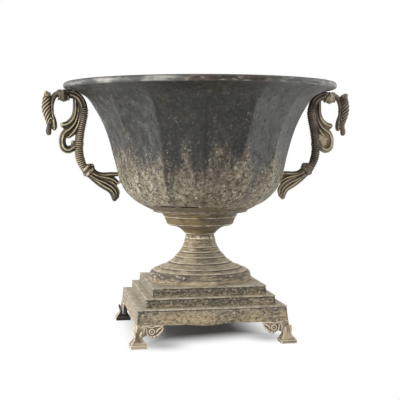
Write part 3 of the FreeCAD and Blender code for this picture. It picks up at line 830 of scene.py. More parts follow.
def soften(spots: Sequence[Spot], radius: float, cuts: int = 3) -> list[Spot]:
    """Round the sharp corners of an open line.

    Args:
        spots: its points.
        radius: how far from a corner the rounding starts.
        cuts: how many steps each corner takes.

    Returns:
        The softened line.
    """
    line = [spots[0]]
    for before, corner, after in zip(spots, spots[1:], spots[2:]):
        arrive = Vector(corner) - Vector(before)
        leave = Vector(after) - Vector(corner)
        if arrive.angle(leave, 0.0) < KEEN_TURN:
            line.append(corner)
            continue
        start = Vector(corner) - arrive.normalized() * min(radius, arrive.length * MOST_ROUNDED)
        end = Vector(corner) + leave.normalized() * min(radius, leave.length * MOST_ROUNDED)
        for cut in range(cuts + 1):
            t = cut / cuts
            line.append(tuple(start * (1 - t) ** 2 + Vector(corner) * 2 * t * (1 - t) + end * t * t))
    line.append(spots[-1])
    return line


def refine(spots: Sequence[Spot], step: float, low: float = 0.0, high: float = 1.0) -> list[Spot]:
    """Split the spans of an open line that lie between two radii.

    Args:
        spots: its points.
        step: the longest span that is left there.
        low: the smaller radius.
        high: the larger radius.

    Returns:
        The finer line.
    """
    line = []
    for start, end in zip(spots, spots[1:]):
        near = low < (start[0] + end[0]) / 2 < high
        cuts = max(1, math.ceil(math.dist(start, end) / step)) if near else 1
        for cut in range(cuts):
            t = cut / cuts
            line.append((start[0] + (end[0] - start[0]) * t, start[1] + (end[1] - start[1]) * t))
    line.append(spots[-1])
    return line


def offset_line(spots: Sequence[Spot], depth: float) -> list[Spot]:
    """Move an open line to its left by a depth."""
    rows = np.array(spots, float)
    way = np.gradient(rows, axis=0)
    way /= np.linalg.norm(way, axis=1, keepdims=True)
    return [tuple(row) for row in rows + depth * np.stack([-way[:, 1], way[:, 0]], 1)]


@dataclass
class Bowl:
    """The raised sheet bowl: flat panels that melt into a round flare with a rolled edge."""

    panels: int = 14
    first_arris: float = math.radians(-97.3)
    columns: int = 22
    seat_radius: float = 0.066
    roll_radius: float = 0.0043
    wall: float = 0.0012
    rod_hole: float = 0.0043
    dent: float = 0.00045
    dent_size: float = 0.035
    dimple_size: float = 0.014
    roll_dent: float = 0.0003
    roll_zone: float = 0.004
    roll_cuts: int = 26
    floor_steps: int = 6
    still_floor: float = 0.010
    still_rim: float = 0.012
    outline_shares: Triples = (
        (0.0, 0.0, 0.70), (0.077, 0.025, 0.55), (0.210, 0.075, 0.35), (0.315, 0.140, 0.20),
        (0.370, 0.195, 0.12), (0.412, 0.260, 0.08), (0.438, 0.337, 0.08), (0.468, 0.434, 0.08),
        (0.503, 0.531, 0.08), (0.546, 0.629, 0.10), (0.602, 0.725, 0.14), (0.679, 0.821, 0.30),
        (0.756, 0.900, 0.60), (0.850, 0.945, 0.85), (0.979, 0.9835, 1.0),
    )
    panel_hollow: float = 0.006
    stray: float = 0.07
    inner_wear: float = -0.55
    round_panel: int = 10
    round_share: float = 0.75
    round_heights: Spot = (0.225, 0.245)
    # Grey paint and painted shading of each panel at its left and right edge: darkest on the front panels,
    # and changing across each panel as light falls on a shallow hollow.
    panel_tones: Spots = (
        (0.06, 0.00), (1.00, 0.80), (0.95, 0.85), (0.30, 0.60), (0.10, 0.30), (0.50, 0.75), (0.15, 0.35),
        (0.75, 0.50), (0.10, 0.30), (0.55, 0.65), (0.30, 0.40), (0.50, 0.36), (0.22, 0.50), (0.00, 0.04),
    )
    panel_wear: tuple[float, ...] = (
        0.06, -0.14, 0.22, 0.05, -0.10, 0.12, -0.05, 0.10, -0.12, 0.08, 0.00, 0.14, 0.00, -0.12,
    )
    arris_scrapes: tuple[float, ...] = (
        0.10, 0.90, 1.00, 0.50, 0.30, 0.80, 0.20, 0.60, 0.30, 0.90, 0.40, 0.70, 1.00, 0.10,
    )
    arris_width: float = 0.0028
    scrape_width: float = 0.006
    stray_size: float = 0.013
    wear_patches: tuple[tuple[float, float, float, float, float], ...] = (
        (-73, 0.226, 8, 0.014, 0.40), (-132, 0.220, 9, 0.016, 0.35), (-110, 0.232, 3, 0.025, 0.35),
        (-87, 0.249, 6, 0.012, 0.30), (-113, 0.295, 6, 0.008, 0.25), (-152, 0.203, 12, 0.020, 0.22),
        (-40, 0.210, 7, 0.018, 0.55), (-110, 0.268, 8, 0.026, 0.28), (-122, 0.215, 4, 0.030, -0.30),
        (-83, 0.268, 9, 0.026, 0.22), (-61, 0.203, 5, 0.026, -0.30), (-70, 0.248, 4, 0.014, 0.52),
        (-159, 0.248, 3.5, 0.019, 0.62), (-138, 0.197, 10, 0.014, 0.30), (-54, 0.195, 4, 0.014, 0.35),
        (-100, 0.235, 4, 0.020, -0.25), (20, 0.215, 10, 0.020, 0.30), (75, 0.230, 8, 0.020, 0.30),
        (130, 0.210, 9, 0.020, 0.30), (100, 0.250, 5, 0.012, 0.25), (160, 0.220, 8, 0.020, 0.30),
        (45, 0.225, 6, 0.030, -0.30), (110, 0.215, 5, 0.030, -0.30),
    )
    rust_spots: Spots = ((-89.0, 20.0), (15.0, 12.0), (60.0, 20.0), (125.0, 26.0), (170.0, 8.0))
    seam_radius: float = 0.0826
    seam_tilt: float = 0.0045
    seam_half: float = 0.0022
    seam_depth: float = 0.0014
    seam_lap: float = 0.0004
    seam_step: float = 0.0006
    seam_margins: Spot = (0.009, 0.006)
    seam_drop: Spots = ((-100.0, 0.0), (-65.0, 1.0), (-30.0, 1.0), (10.0, 0.0))
    seam_slits: Triples = (
        (-142.0, -123.0, 1.0), (-119.5, -101.0, 1.0), (-97.0, -84.0, 0.45), (-62.0, -52.0, 0.4),
        (-25.0, 4.0, 0.8), (20.0, 44.0, 1.0), (50.0, 75.0, 0.6), (110.0, 138.0, 1.0), (150.0, 170.0, 0.7),
    )
    slit_fade: float = 1.2
    lap_fade: float = 0.004
    lip_band: Spot = (1.7, 0.5)
    lip_rub: float = 0.7
    closed_rub: float = 0.4
    seam_scar: Triple = (-97.0, -78.0, 0.9)
    scar_band: Spot = (1.9, 1.1)
    scar_fade: float = 2.0
    base: float = field(init=False)
    mouth_radius: float = field(init=False)
    roll_height: float = field(init=False)

    def __post_init__(self) -> None:
        """Take the bowl's place from the frame."""
        low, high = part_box("bowl_shell")
        self.base = low.z
        self.mouth_radius = high.x - self.roll_radius
        self.roll_height = high.z - self.roll_radius

    def outline(self) -> list[Triple]:
        """The outer face from seat to roll, as (radius, height, roundness)."""
        spread = self.mouth_radius - self.seat_radius
        rise = self.roll_height - self.base
        knots = [
            (self.seat_radius + out * spread, self.base + up * rise, roundness)
            for out, up, roundness in self.outline_shares
        ]
        return smooth_line(knots, 4)

    def roundness(self, heights: Array) -> Array:
        """How round the bowl is at each height: 0 is flat panels and 1 a circle."""
        line = np.array(self.outline())
        return np.interp(heights, line[:, 1], line[:, 2])

    def radius_at(self, heights: Array) -> Array:
        """The outer radius at each height, before the panels are pressed."""
        line = np.array(self.outline())
        return np.interp(heights, line[:, 1], line[:, 0])

    def flatness(self, points: Array) -> Array:
        """The share of its radius that each point keeps on a flat panel."""
        pitch = FULL_TURN / self.panels
        angle = np.arctan2(points[:, 1], points[:, 0])
        off_middle = (angle - self.first_arris) % pitch - pitch / 2
        flat = math.cos(pitch / 2) / np.cos(off_middle)
        flat -= self.panel_hollow * (1 - (2 * off_middle / pitch) ** 2)
        reach = clamp(from_axis(points) / self.seat_radius)
        panel = np.floor((angle - self.first_arris) / pitch) % self.panels
        beaten = self.round_share * np.interp(points[:, 2], self.round_heights, (0, 1))
        keen = reach ** 2 * np.where(panel == self.round_panel, 1 - beaten, 1)
        softness = 1 - (1 - self.roundness(points[:, 2])) * keen
        return flat + softness * (1 - flat)

    def outer_reach(self, points: Array) -> Array:
        """The bowl's outer radius beside each point."""
        return self.radius_at(points[:, 2]) * self.flatness(points)

    def section(self) -> list[Spot]:
        """The sheet's closed section: floor, outer face, rolled edge, inner face and floor again."""
        outer = [(radius, height) for radius, height, _ in self.outline()]
        inner = offset_line(outer, self.wall)
        centre = Vector((self.mouth_radius, self.roll_height))
        outer, inner = (
            [spot for spot in face if (Vector(spot) - centre).length > self.roll_radius]
            for face in (outer, inner)
        )
        start, end = (
            math.atan2(face[-1][1] - centre.y, face[-1][0] - centre.x) for face in (outer, inner)
        )
        turn = end + FULL_TURN - start
        roll = []
        for cut in range(1, self.roll_cuts):
            angle = start + turn * cut / self.roll_cuts
            roll.append((
                centre.x + self.roll_radius * math.cos(angle),
                centre.y + self.roll_radius * math.sin(angle),
            ))
        inside, outside = self.seam_margins
        outer = refine(outer, self.seam_step, self.seam_radius - inside, self.seam_radius + outside)
        stride = (self.seat_radius - self.rod_hole) / self.floor_steps
        floor = [self.rod_hole + stride * step for step in range(self.floor_steps)]
        under = [(radius, self.base) for radius in floor]
        above = [(radius, self.base + self.wall) for radius in floor]
        inner[0] = (self.seat_radius, self.base + self.wall)
        return under + outer + roll + inner[::-1] + above[::-1]

    def build(self, paint: Finish) -> None:
        """Turn the section, press the panels and dent the sheet.

        Args:
            paint: the bowl's finish.
        """
        bowl = turn_outline(self.section(), self.panels * self.columns)
        points = points_of(bowl)
        radius = from_axis(points)
        degrees = azimuths(points)
        height = points[:, 2]
        slit, lap, lips = self.seam(points, radius, degrees)
        inner = radius < self.radius_at(height) - self.wall / 2
        free = ramp(height, (
            (self.base, 0), (self.base + self.still_floor, 1),
            (self.roll_height - self.still_rim, 1), (self.roll_height, 0),
        ))
        swell = wobble(points, self.dent_size, 3.1) + 0.5 * wobble(points, self.dimple_size, 7.7)
        push = free * self.dent * (swell - 0.6) - slit * self.seam_depth + lap * self.seam_lap
        on_roll = clamp((height - self.roll_height + self.roll_zone) / self.roll_zone)
        push -= on_roll * self.roll_dent * (1 + wobble(points, 0.009, 1.3))
        grown = self.flatness(points) + push / np.maximum(radius, self.seat_radius)
        points[:, :2] *= grown[:, None]
        move_points(bowl, points)
        # The open slits are kept as the hollow mark, which the paint fills with painted shade.
        keep_marks(bowl, lap=lap, hollow=slit, edge=lips)
        self.mark_panels(bowl, points, degrees, inner)
        dress(bowl, "bowl", paint, "bowl_shell")

    def seam(
        self, points: Array, radius: Array, degrees: Array
    ) -> tuple[Array, Array, Array]:
        """The lapped seam under the bowl, open in a few slits.

        Args:
            points: the bowl's points.
            radius: their distance from the axis.
            degrees: their azimuth.

        Returns:
            How far the slit is open, the lap stands out and the lips are rubbed at each point.
        """
        outer = np.abs(radius - self.radius_at(points[:, 2])) < self.wall / 2
        away = radius - self.seam_radius + self.seam_tilt * ramp(degrees, self.seam_drop)
        opened = np.zeros_like(radius)
        for start, end, depth in self.seam_slits:
            opened = np.maximum(opened, span(degrees, start, end, self.slit_fade) * depth)
        slit = np.exp(-(away / self.seam_half) ** 4) * opened * outer
        lap = clamp(-away / self.seam_half) * clamp((radius - self.seat_radius) / self.lap_fade) * outer
        place, width = (self.seam_half * share for share in self.lip_band)
        lips = bell(np.abs(away) - place, width) * self.lip_rub * outer
        lips *= (self.closed_rub + (1 - self.closed_rub) * opened) * (radius > self.seat_radius)
        place, width = (self.seam_half * share for share in self.scar_band)
        start, end, strength = self.seam_scar
        scar = bell(away - place, width) * span(degrees, start, end, self.scar_fade) * strength * outer
        return slit, lap, np.maximum(lips, scar)

    def mark_panels(
        self, bowl: Piece, points: Array, degrees: Array, inner: Array
    ) -> None:
        """Mark each panel's grey paint and painted shading, the panel edges and their scrapes, and the rust
        on the rim.

        Args:
            bowl: the bowl.
            points: its points.
            degrees: their azimuth.
            inner: which of them lie inside the bowl.
        """
        pitch = 360 / self.panels
        turns = (degrees - math.degrees(self.first_arris)) / pitch
        panel = np.floor(turns).astype(int) % self.panels
        nearest = np.round(turns).astype(int) % self.panels
        height = points[:, 2]
        away = np.abs(turns - np.round(turns)) * np.radians(pitch) * from_axis(points)
        sharp = clamp(1 - self.roundness(height))
        strayed = turns + self.stray * wobble(points, self.stray_size, 3.7)
        left, right = np.array(self.panel_tones)[np.floor(strayed).astype(int) % self.panels].T
        scrapes = np.array(self.arris_scrapes)[nearest]
        wear = np.array(self.panel_wear)[panel] * sharp + self.inner_wear * inner
        for middle, level, spread, reach, strength in self.wear_patches:
            wear += strength * bell(turned(degrees, middle), spread) * bell(height - level, reach)
        rust = np.zeros_like(height)
        for middle, spread in self.rust_spots:
            rust = np.maximum(rust, bell(turned(degrees, middle), spread))
        keep_marks(
            bowl,
            tone=left + (right - left) * (strayed % 1),
            wear=wear,
            arris=bell(away, self.arris_width) * sharp * (1 - scrapes),
            scrape=bell(away, self.scrape_width) * sharp * scrapes,
            rust=rust,
        )


@dataclass
class Stem:
    """The spun stem: skirt and flare with ring steps, neck collar and cup."""

    steps: int = 112
    wall: float = 0.0012
    rod_hole: float = 0.0043
    edge_round: float = 0.0006
    line_step: float = 0.00045
    line_depth: float = 0.00020
    ring_lip: float = 0.0003
    ring_edge: float = 0.0018
    ring_shade: float = 0.0024
    ring_depth: float = 0.0011
    rings: dict[str, Spots] = field(default_factory=lambda: {
        "stem_trumpet": (
            (0.0140, 0.0008), (0.0184, 0.0009), (0.0253, 0.0012), (0.0327, 0.0009),
            (0.0395, 0.0012), (0.0464, 0.0006), (0.0525, 0.0003),
        ),
        "stem_cup": ((0.0020, 0.0008), (0.0156, 0.0007), (0.0259, 0.0005), (0.0314, 0.0004)),
        "neck_collar": ((0.0045, 0.0005), (0.0082, 0.0004)),
    })
    skirt_spots: Spots = ((0.0722, 0.0), (0.0708, 0.0092), (0.0663, 0.0142))
    skirt_lean: float = 0.05
    skirt_bulge: float = 0.30
    skirt_cuts: int = 4
    neck_radius: float = 0.0212
    flare_base: float = 0.0142
    flare_shares: Spots = (
        (1.0, 0.0), (0.827, 0.075), (0.794, 0.101), (0.568, 0.207),
        (0.532, 0.235), (0.237, 0.528), (0.195, 0.563), (0.0, 1.0),
    )
    flare_bulge: float = -0.12
    curved_spans: tuple[int, ...] = (2, 4, 6)
    curve_cuts: int = 7
    cup_neck_radius: float = 0.0198
    cup_shares: Spots = (
        (0.0, 0.0), (0.043, 0.09), (0.502, 0.415), (0.58, 0.5),
        (0.690, 0.83), (0.755, 0.925), (0.985, 0.968), (1.0, 1.0),
    )
    cup_bulges: tuple[float, ...] = (0.0, -0.22, 0.30, 0.0, -0.12, -0.16, 0.0)
    cup_ledge: float = 0.011
    bead_bulge: float = 0.32
    bead_cuts: int = 10
    spigot: float = 0.0035
    spigot_gap: float = 0.0002
    least_radius: float = 0.01
    lump_size: float = 0.0045
    fine_line: float = 0.0019
    broad_line: float = 0.0052
    ragged_size: float = 0.009
    sheet_rough: float = 0.00012
    collar_rough: float = 0.0005
    skirt_shade: Spots = ((0.0, 0.0), (0.004, 0.15), (0.006, 0.70), (0.0135, 0.85), (0.015, 0.0))
    stain: float = 0.85
    stain_turn: Spots = ((238.0, 0.0), (254.0, 1.0), (288.0, 1.0), (318.0, 0.0))
    stain_rise: Spots = ((0.013, 0.0), (0.016, 1.0), (0.026, 1.0), (0.042, 0.5))
    flare_warmth: Spots = ((0.030, 0.0), (0.055, 0.4))
    cup_patch: float = -60.0
    cup_shade: Spots = ((25.0, 0.8), (45.0, 0.0))
    cup_warmth: Spots = ((0.0, 0.4), (0.008, 1.0))
    collar_warmth: float = 0.55

    def trumpet_face(self) -> list[Spot]:
        """The outer face of the skirt and flare, upwards."""
        low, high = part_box("stem_trumpet")
        first, shoulder, top = [(radius, low.z + rise) for radius, rise in self.skirt_spots]
        spots = arc(first, shoulder, self.skirt_lean, self.skirt_cuts)
        spots += arc(shoulder, top, self.skirt_bulge, self.skirt_cuts)
        base = low.z + self.flare_base
        spread = top[0] - self.neck_radius
        flare = [
            (self.neck_radius + out * spread, base + up * (high.z - base)) for out, up in self.flare_shares
        ]
        for index, (start, end) in enumerate(zip(flare, flare[1:])):
            curved = index in self.curved_spans
            bulge, cuts = (self.flare_bulge, self.curve_cuts) if curved else (0.0, 1)
            spots += arc(start, end, bulge, cuts)
        return self.stepped("stem_trumpet", spots + [flare[-1]])

    def sink(self, node: str, heights: Array) -> Array:
        """How far the outline sinks back under the ring above, at each height.

        Args:
            node: the piece.
            heights: the heights to ask for.

        Returns:
            One depth for each height.
        """
        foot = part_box(node)[0].z
        places, depths = [foot], [0.0]
        for rise, depth in self.rings[node]:
            places += [foot + rise - self.ring_lip, foot + rise]
            depths += [depth, 0.0]
        return np.interp(heights, places, depths)

    def rubs(self, node: str, heights: Array) -> tuple[Array, Array]:
        """How near each height is to a ring's rubbed lip, and to the painted shadow under it.

        Args:
            node: the piece.
            heights: the heights to ask for.

        Returns:
            The two values of each height, from 0 to about 1.
        """
        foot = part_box(node)[0].z
        places, lips, lip_shadow = [], [], []
        for rise, depth in self.rings[node]:
            weight = math.sqrt(depth / self.ring_depth)
            lip = foot + rise
            places += [lip - self.ring_shade, lip - self.ring_lip, lip, lip + self.ring_edge]
            lips += [0.0, 0.0, weight, 0.0]
            lip_shadow += [0.0, weight, 0.0, 0.0]
        return np.interp(heights, places, lips), np.interp(heights, places, lip_shadow)

    def stepped(self, node: str, spots: Sequence[Spot]) -> list[Spot]:
        """Soften a piece's outline, split it finely and press the rings into it.

        Args:
            node: the piece.
            spots: its outer face, upwards.

        Returns:
            The finished face.
        """
        face = refine(soften(spots, self.edge_round), self.line_step)
        sunk = self.sink(node, np.array([height for _, height in face]))
        return [(radius - depth, height) for (radius, height), depth in zip(face, sunk)]

    def trumpet(self) -> list[Spot]:
        """The closed section of the skirt and flare."""
        outer = self.trumpet_face()
        inner = [(max(radius - self.wall, self.least_radius), height) for radius, height in outer]
        return outer + inner[::-1]

    def collar(self) -> list[Spot]:
        """The closed section of the bead at the neck, with a spigot up and down."""
        low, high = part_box("neck_collar")
        bottom = low.z + self.spigot
        top = high.z - self.spigot
        inset = self.wall + self.spigot_gap
        bead = arc(
            (self.neck_radius, bottom), (self.cup_neck_radius, top), self.bead_bulge, self.bead_cuts
        )
        return [
            (self.rod_hole, low.z),
            (self.neck_radius - inset, low.z),
            (self.neck_radius - inset, bottom),
            *bead,
            (self.cup_neck_radius, top),
            (self.cup_neck_radius - inset, top),
            (self.cup_neck_radius - inset, high.z),
            (self.rod_hole, high.z),
        ]

    def cup_face(self) -> list[Spot]:
        """The outer face of the cup, upwards."""
        low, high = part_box("stem_cup")
        spread = high.x - self.cup_neck_radius
        rise = high.z - low.z
        knots = [(self.cup_neck_radius + out * spread, low.z + up * rise) for out, up in self.cup_shares]
        spots = []
        for start, end, bulge in zip(knots, knots[1:], self.cup_bulges):
            spots += arc(start, end, bulge, self.curve_cuts if bulge else 1)
        return self.stepped("stem_cup", spots + [knots[-1]])

    def cup(self) -> list[Spot]:
        """The closed section of the cup under the bowl."""
        outer = self.cup_face()
        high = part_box("stem_cup")[1]
        ledge = high.x - self.cup_ledge
        under = high.z - self.wall
        inner = [(radius - self.wall, height + self.wall) for radius, height in outer]
        inner = [spot for spot in inner if spot[0] < ledge and spot[1] < under]
        foot = (outer[0][0] - self.wall, outer[0][1])
        return outer + [(ledge, high.z), (ledge, under)] + inner[::-1] + [foot]

    def build(self, paint: Finish) -> None:
        """Turn the three pieces and give them the unevenness of hand-spun sheet.

        Args:
            paint: the stem's finish.
        """
        sections = {"stem_trumpet": self.trumpet(), "neck_collar": self.collar(), "stem_cup": self.cup()}
        for name, spots in sections.items():
            collar = name == "neck_collar"
            piece = turn_outline(spots, self.steps)
            points = points_of(piece)
            radius = np.maximum(from_axis(points), self.least_radius)
            swell = wobble(points, self.lump_size, 5.3)
            level = points * (0, 0, 1)
            lines = wobble(level, self.fine_line, 0.4) + 0.8 * wobble(level, self.broad_line, 9.2)
            rough = self.collar_rough if collar else self.sheet_rough
            push = -rough * (1 + swell) + self.line_depth * (lines - 1)
            lips, lip_shadow = self.rubs(name, points[:, 2])
            points[:, :2] *= (1 + push / radius)[:, None]
            move_points(piece, points)
            ragged = 0.9 + 0.8 * wobble(points, self.ragged_size, 4.1)
            lumps = clamp(0.35 + swell) if collar else clamp(lines + swell - 0.7) * 0.5
            pits = clamp(-0.7 - lines - swell) * 0.5
            shade, warm = self.zones(name, points)
            keep_marks(
                piece,
                edge=clamp(lips * ragged + lumps),
                # Painted shadow under each ring's lip, and dark pits.
                hollow=clamp(lip_shadow * ragged + pits),
                shade=shade,
                warm=warm,
            )
            dress(piece, name + "_spun", paint, name)

    def zones(self, name: str, points: Array) -> tuple[Array, Array]:
        """Where the paint still covers the sheet, and where the wash is stained brown.

        Args:
            name: the piece.
            points: its points.

        Returns:
            The two values of each point, about 0 to 1.
        """
        rise = points[:, 2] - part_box(name)[0].z
        degrees = azimuths(points)
        if name == "stem_trumpet":
            stain = self.stain * ramp(degrees % 360, self.stain_turn) * ramp(rise, self.stain_rise)
            return ramp(rise, self.skirt_shade) + stain, ramp(rise, self.flare_warmth)
        if name == "stem_cup":
            away = np.abs(turned(degrees, self.cup_patch))
            return ramp(away, self.cup_shade), ramp(rise, self.cup_warmth)
        return np.zeros_like(rise), np.full_like(rise, self.collar_warmth)


@dataclass
class Plinth:
    """Three folded square trays, each with a worn lip round its tread."""

    wall: float = 0.0012
    corner_round: float = 0.0016
    lip: float = 0.0007
    lip_height: float = 0.0017
    rod_hole: float = 0.0045
    cuts: int = 40
    corner_cuts: int = 3
    face_shares: Triple = (0.12, 0.35, 0.6)
    apron_flare: float = 0.0014
    dent: float = 0.0005
    swell_size: float = 0.045
    fine_size: float = 0.012
    still_half: float = 0.03
    least_half: float = 0.01
    sag_reach: float = 0.062
    sag_fade: float = 0.02
    sag_rise: float = 0.006
    sag_depth: float = 0.0016
    sag_size: float = 0.030
    dip_depth: float = 0.0024
    dip_place: float = -0.018
    dip_reach: float = 0.030
    # How much paler the left faces are painted, standing in for light falling on them.
    left_light: float = 0.28
    pale_middle: float = 0.045
    apron_shade: Spots = ((0.0, 0.15), (0.35, 0.2), (0.7, 0.5), (1.0, 0.65))
    apron_warmth: Spots = ((0.0, 1.0), (0.5, 0.8), (0.9, 0.1))
    tray_shade: Spots = ((0.0, 0.1), (0.25, 0.50), (0.5, 0.80))
    tray_warmth: float = 0.25

    def levels(self, low: Vector, high: Vector, top_half: float) -> list[Spot]:
        """The rings of one tray as (half width, height), from its foot round the sheet and back.

        Args:
            low: the tray's lowest corner.
            high: its highest corner.
            top_half: half its width at the top.

        Returns:
            The rings.
        """
        foot = high.x
        neck = high.z - self.lip_height
        wall = self.wall
        under = high.z - wall
        lean = foot - top_half
        face = neck - low.z
        return [
            (foot - 0.0003, low.z), (foot, low.z + 0.0005),
            *((foot - lean * share, low.z + face * share) for share in self.face_shares),
            (top_half + lean * 0.2 - 0.0001, neck - 0.0016), (top_half - 0.0003, neck - 0.0002),
            (top_half + self.lip * 0.3, neck + 0.0003), (top_half + self.lip, neck + 0.0008),
            (top_half + self.lip * 0.8, high.z - 0.0003), (top_half - 0.0002, high.z),
            (top_half - 0.006, high.z - 0.0001), (top_half - 0.014, high.z), (top_half * 0.5, high.z),
            (self.rod_hole, high.z), (self.rod_hole, under), (top_half * 0.5, under),
            (top_half - 0.006, under), (top_half - wall, under), (top_half - wall, neck - wall),
            (foot - wall - 0.0001, low.z + 0.0006), (foot - wall, low.z),
        ]

    def tray(self, node: str, top_half: float) -> Piece:
        """Raise one tray ring by ring.

        Args:
            node: the node whose place it takes.
            top_half: half its width at the top.

        Returns:
            The tray.
        """
        low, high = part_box(node)
        rings = self.levels(low, high, top_half)
        deselect()
        bpy.ops.mesh.primitive_plane_add(size=2 * rings[0][0], location=(0, 0, rings[0][1]))
        start_edit()
        bpy.ops.mesh.bevel(offset=self.corner_round, segments=self.corner_cuts, affect="VERTICES")
        bpy.ops.mesh.delete(type="ONLY_FACE")
        self.cut_sides()
        for before, after in zip(rings, rings[1:] + rings[:1]):
            share = after[0] / before[0]
            bpy.ops.mesh.extrude_edges_move(TRANSFORM_OT_translate={"value": (0, 0, after[1] - before[1])})
            bpy.ops.transform.resize(value=(share, share, 1), center_override=(0, 0, 0))
        return settle(close_mesh())

    def cut_sides(self) -> None:
        """Cut the four long sides of the selected square into short edges."""
        bpy.ops.mesh.select_all(action="DESELECT")
        piece = end_edit()
        for edge in piece.data.edges:
            start, end = (piece.data.vertices[index].co for index in edge.vertices)
            edge.select = (end - start).length > 10 * self.corner_round
        bpy.ops.object.mode_set(mode="EDIT")
        bpy.ops.mesh.subdivide(number_cuts=self.cuts)
        bpy.ops.mesh.select_all(action="SELECT")

    def build(self, paint: Finish) -> None:
        """Raise the three trays and let their sides wander a little.

        Args:
            paint: the plinth's finish.
        """
        for index, node in enumerate(("step_base", "step_middle", "step_top")):
            low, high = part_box(node)
            top_half = high.x - (self.apron_flare if node == "step_base" else 0.0) - self.lip
            piece = self.tray(node, top_half)
            points = points_of(piece)
            swell = wobble(points * (1, 1, 0.3), self.swell_size, 11.0 + index)
            fine = wobble(points, self.fine_size, 17.0 + index)
            side = np.abs(points[:, :2]).max(1)
            give = clamp((side - self.still_half) / self.still_half) * self.dent
            give *= (0.8 + 0.8 * swell + 0.3 * fine) / np.maximum(side, self.least_half)
            points[:, :2] *= (1 - give)[:, None]
            if node == "step_base":
                self.sag(points, low.z)
            move_points(piece, points)
            self.mark(piece, node, top_half, fine)
            dress(piece, node + "_dressed", paint, node)

    def sag(self, points: Array, foot: float) -> None:
        """Let the apron's lower edge wander and dip between the feet.

        Args:
            points: the tray's points, which are changed.
            foot: the height of the lower edge.
        """
        along = np.sort(np.abs(points[:, :2]), 1)[:, 0]
        free = clamp((self.sag_reach - along) / self.sag_fade)
        free *= clamp((foot + self.sag_rise - points[:, 2]) / self.sag_rise)
        across = np.where(np.abs(points[:, 0]) < np.abs(points[:, 1]), points[:, 0], points[:, 1])
        dip = self.dip_depth * bell(across - self.dip_place, self.dip_reach)
        wander = self.sag_depth * (0.4 + wobble(points * (1, 1, 0), self.sag_size, 6.6))
        points[:, 2] += free * (wander - dip)

    def mark(self, piece: Piece, node: str, top_half: float, fine: Array) -> None:
        """Mark the tray's rubbed lips, the painted shade under its lips and down its corners, the painted
        light on its left faces and the zones of its paint.

        Args:
            piece: the tray.
            node: the node that it stands for.
            top_half: half its width at the top.
            fine: small noise at its points.
        """
        low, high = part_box(node)
        points = points_of(piece)
        neck = high.z - self.lip_height
        height = points[:, 2]
        side = np.sort(np.abs(points[:, :2]), 1)
        outer = side[:, 1] > top_half - 0.003
        on_face = outer & (height < neck + 0.0001)
        rise = clamp((height - low.z) / (neck - low.z))
        # Painted shade down the tray's rounded corners.
        corner = clamp((side[:, 0] - side[:, 1] + 0.0030) / 0.0022) * on_face
        lip = outer & (height > neck + 0.0002)
        # Painted shadow on the face just under the lip.
        under = clamp((height - neck + 0.0018) / 0.0012) * on_face
        ragged = wobble(points * (1, 1, 0), 0.008, 8.8) + 0.7 * fine
        # Painted light: the faces on the left side are made paler, as the light falls on them.
        pale = (points[:, 0] < self.lip * 4 - top_half) * on_face * self.left_light
        drift = wobble(points * (1, 1, 0.4), 0.040, 2.9)
        if node == "step_base":
            middle = bell(side[:, 0], self.pale_middle)
            shade = ramp(rise, self.apron_shade) * (1 - 0.7 * middle) + 0.4 * drift
            warm = ramp(rise, self.apron_warmth) * (0.8 - 0.4 * drift)
        else:
            shade = ramp(rise, self.tray_shade) + 0.30 * drift
            warm = self.tray_warmth - 0.3 * drift
        keep_marks(
            piece,
            edge=np.maximum(lip * clamp(0.55 + 0.9 * ragged), pale),
            hollow=np.maximum(under * (0.75 + 0.4 * fine), corner * (0.55 + 0.6 * fine)),
            shade=clamp(shade) * on_face,
            warm=clamp(warm) * on_face,
        )


class Relief(Enum):
    """What is carved round a cast strand."""

    PLAIN = "plain"
    RIBS = "ribs across its inner side"
    RINGS = "ribs all round it"
    TWIST = "grooves that wind round it"
    FLUTES = "grooves along it"


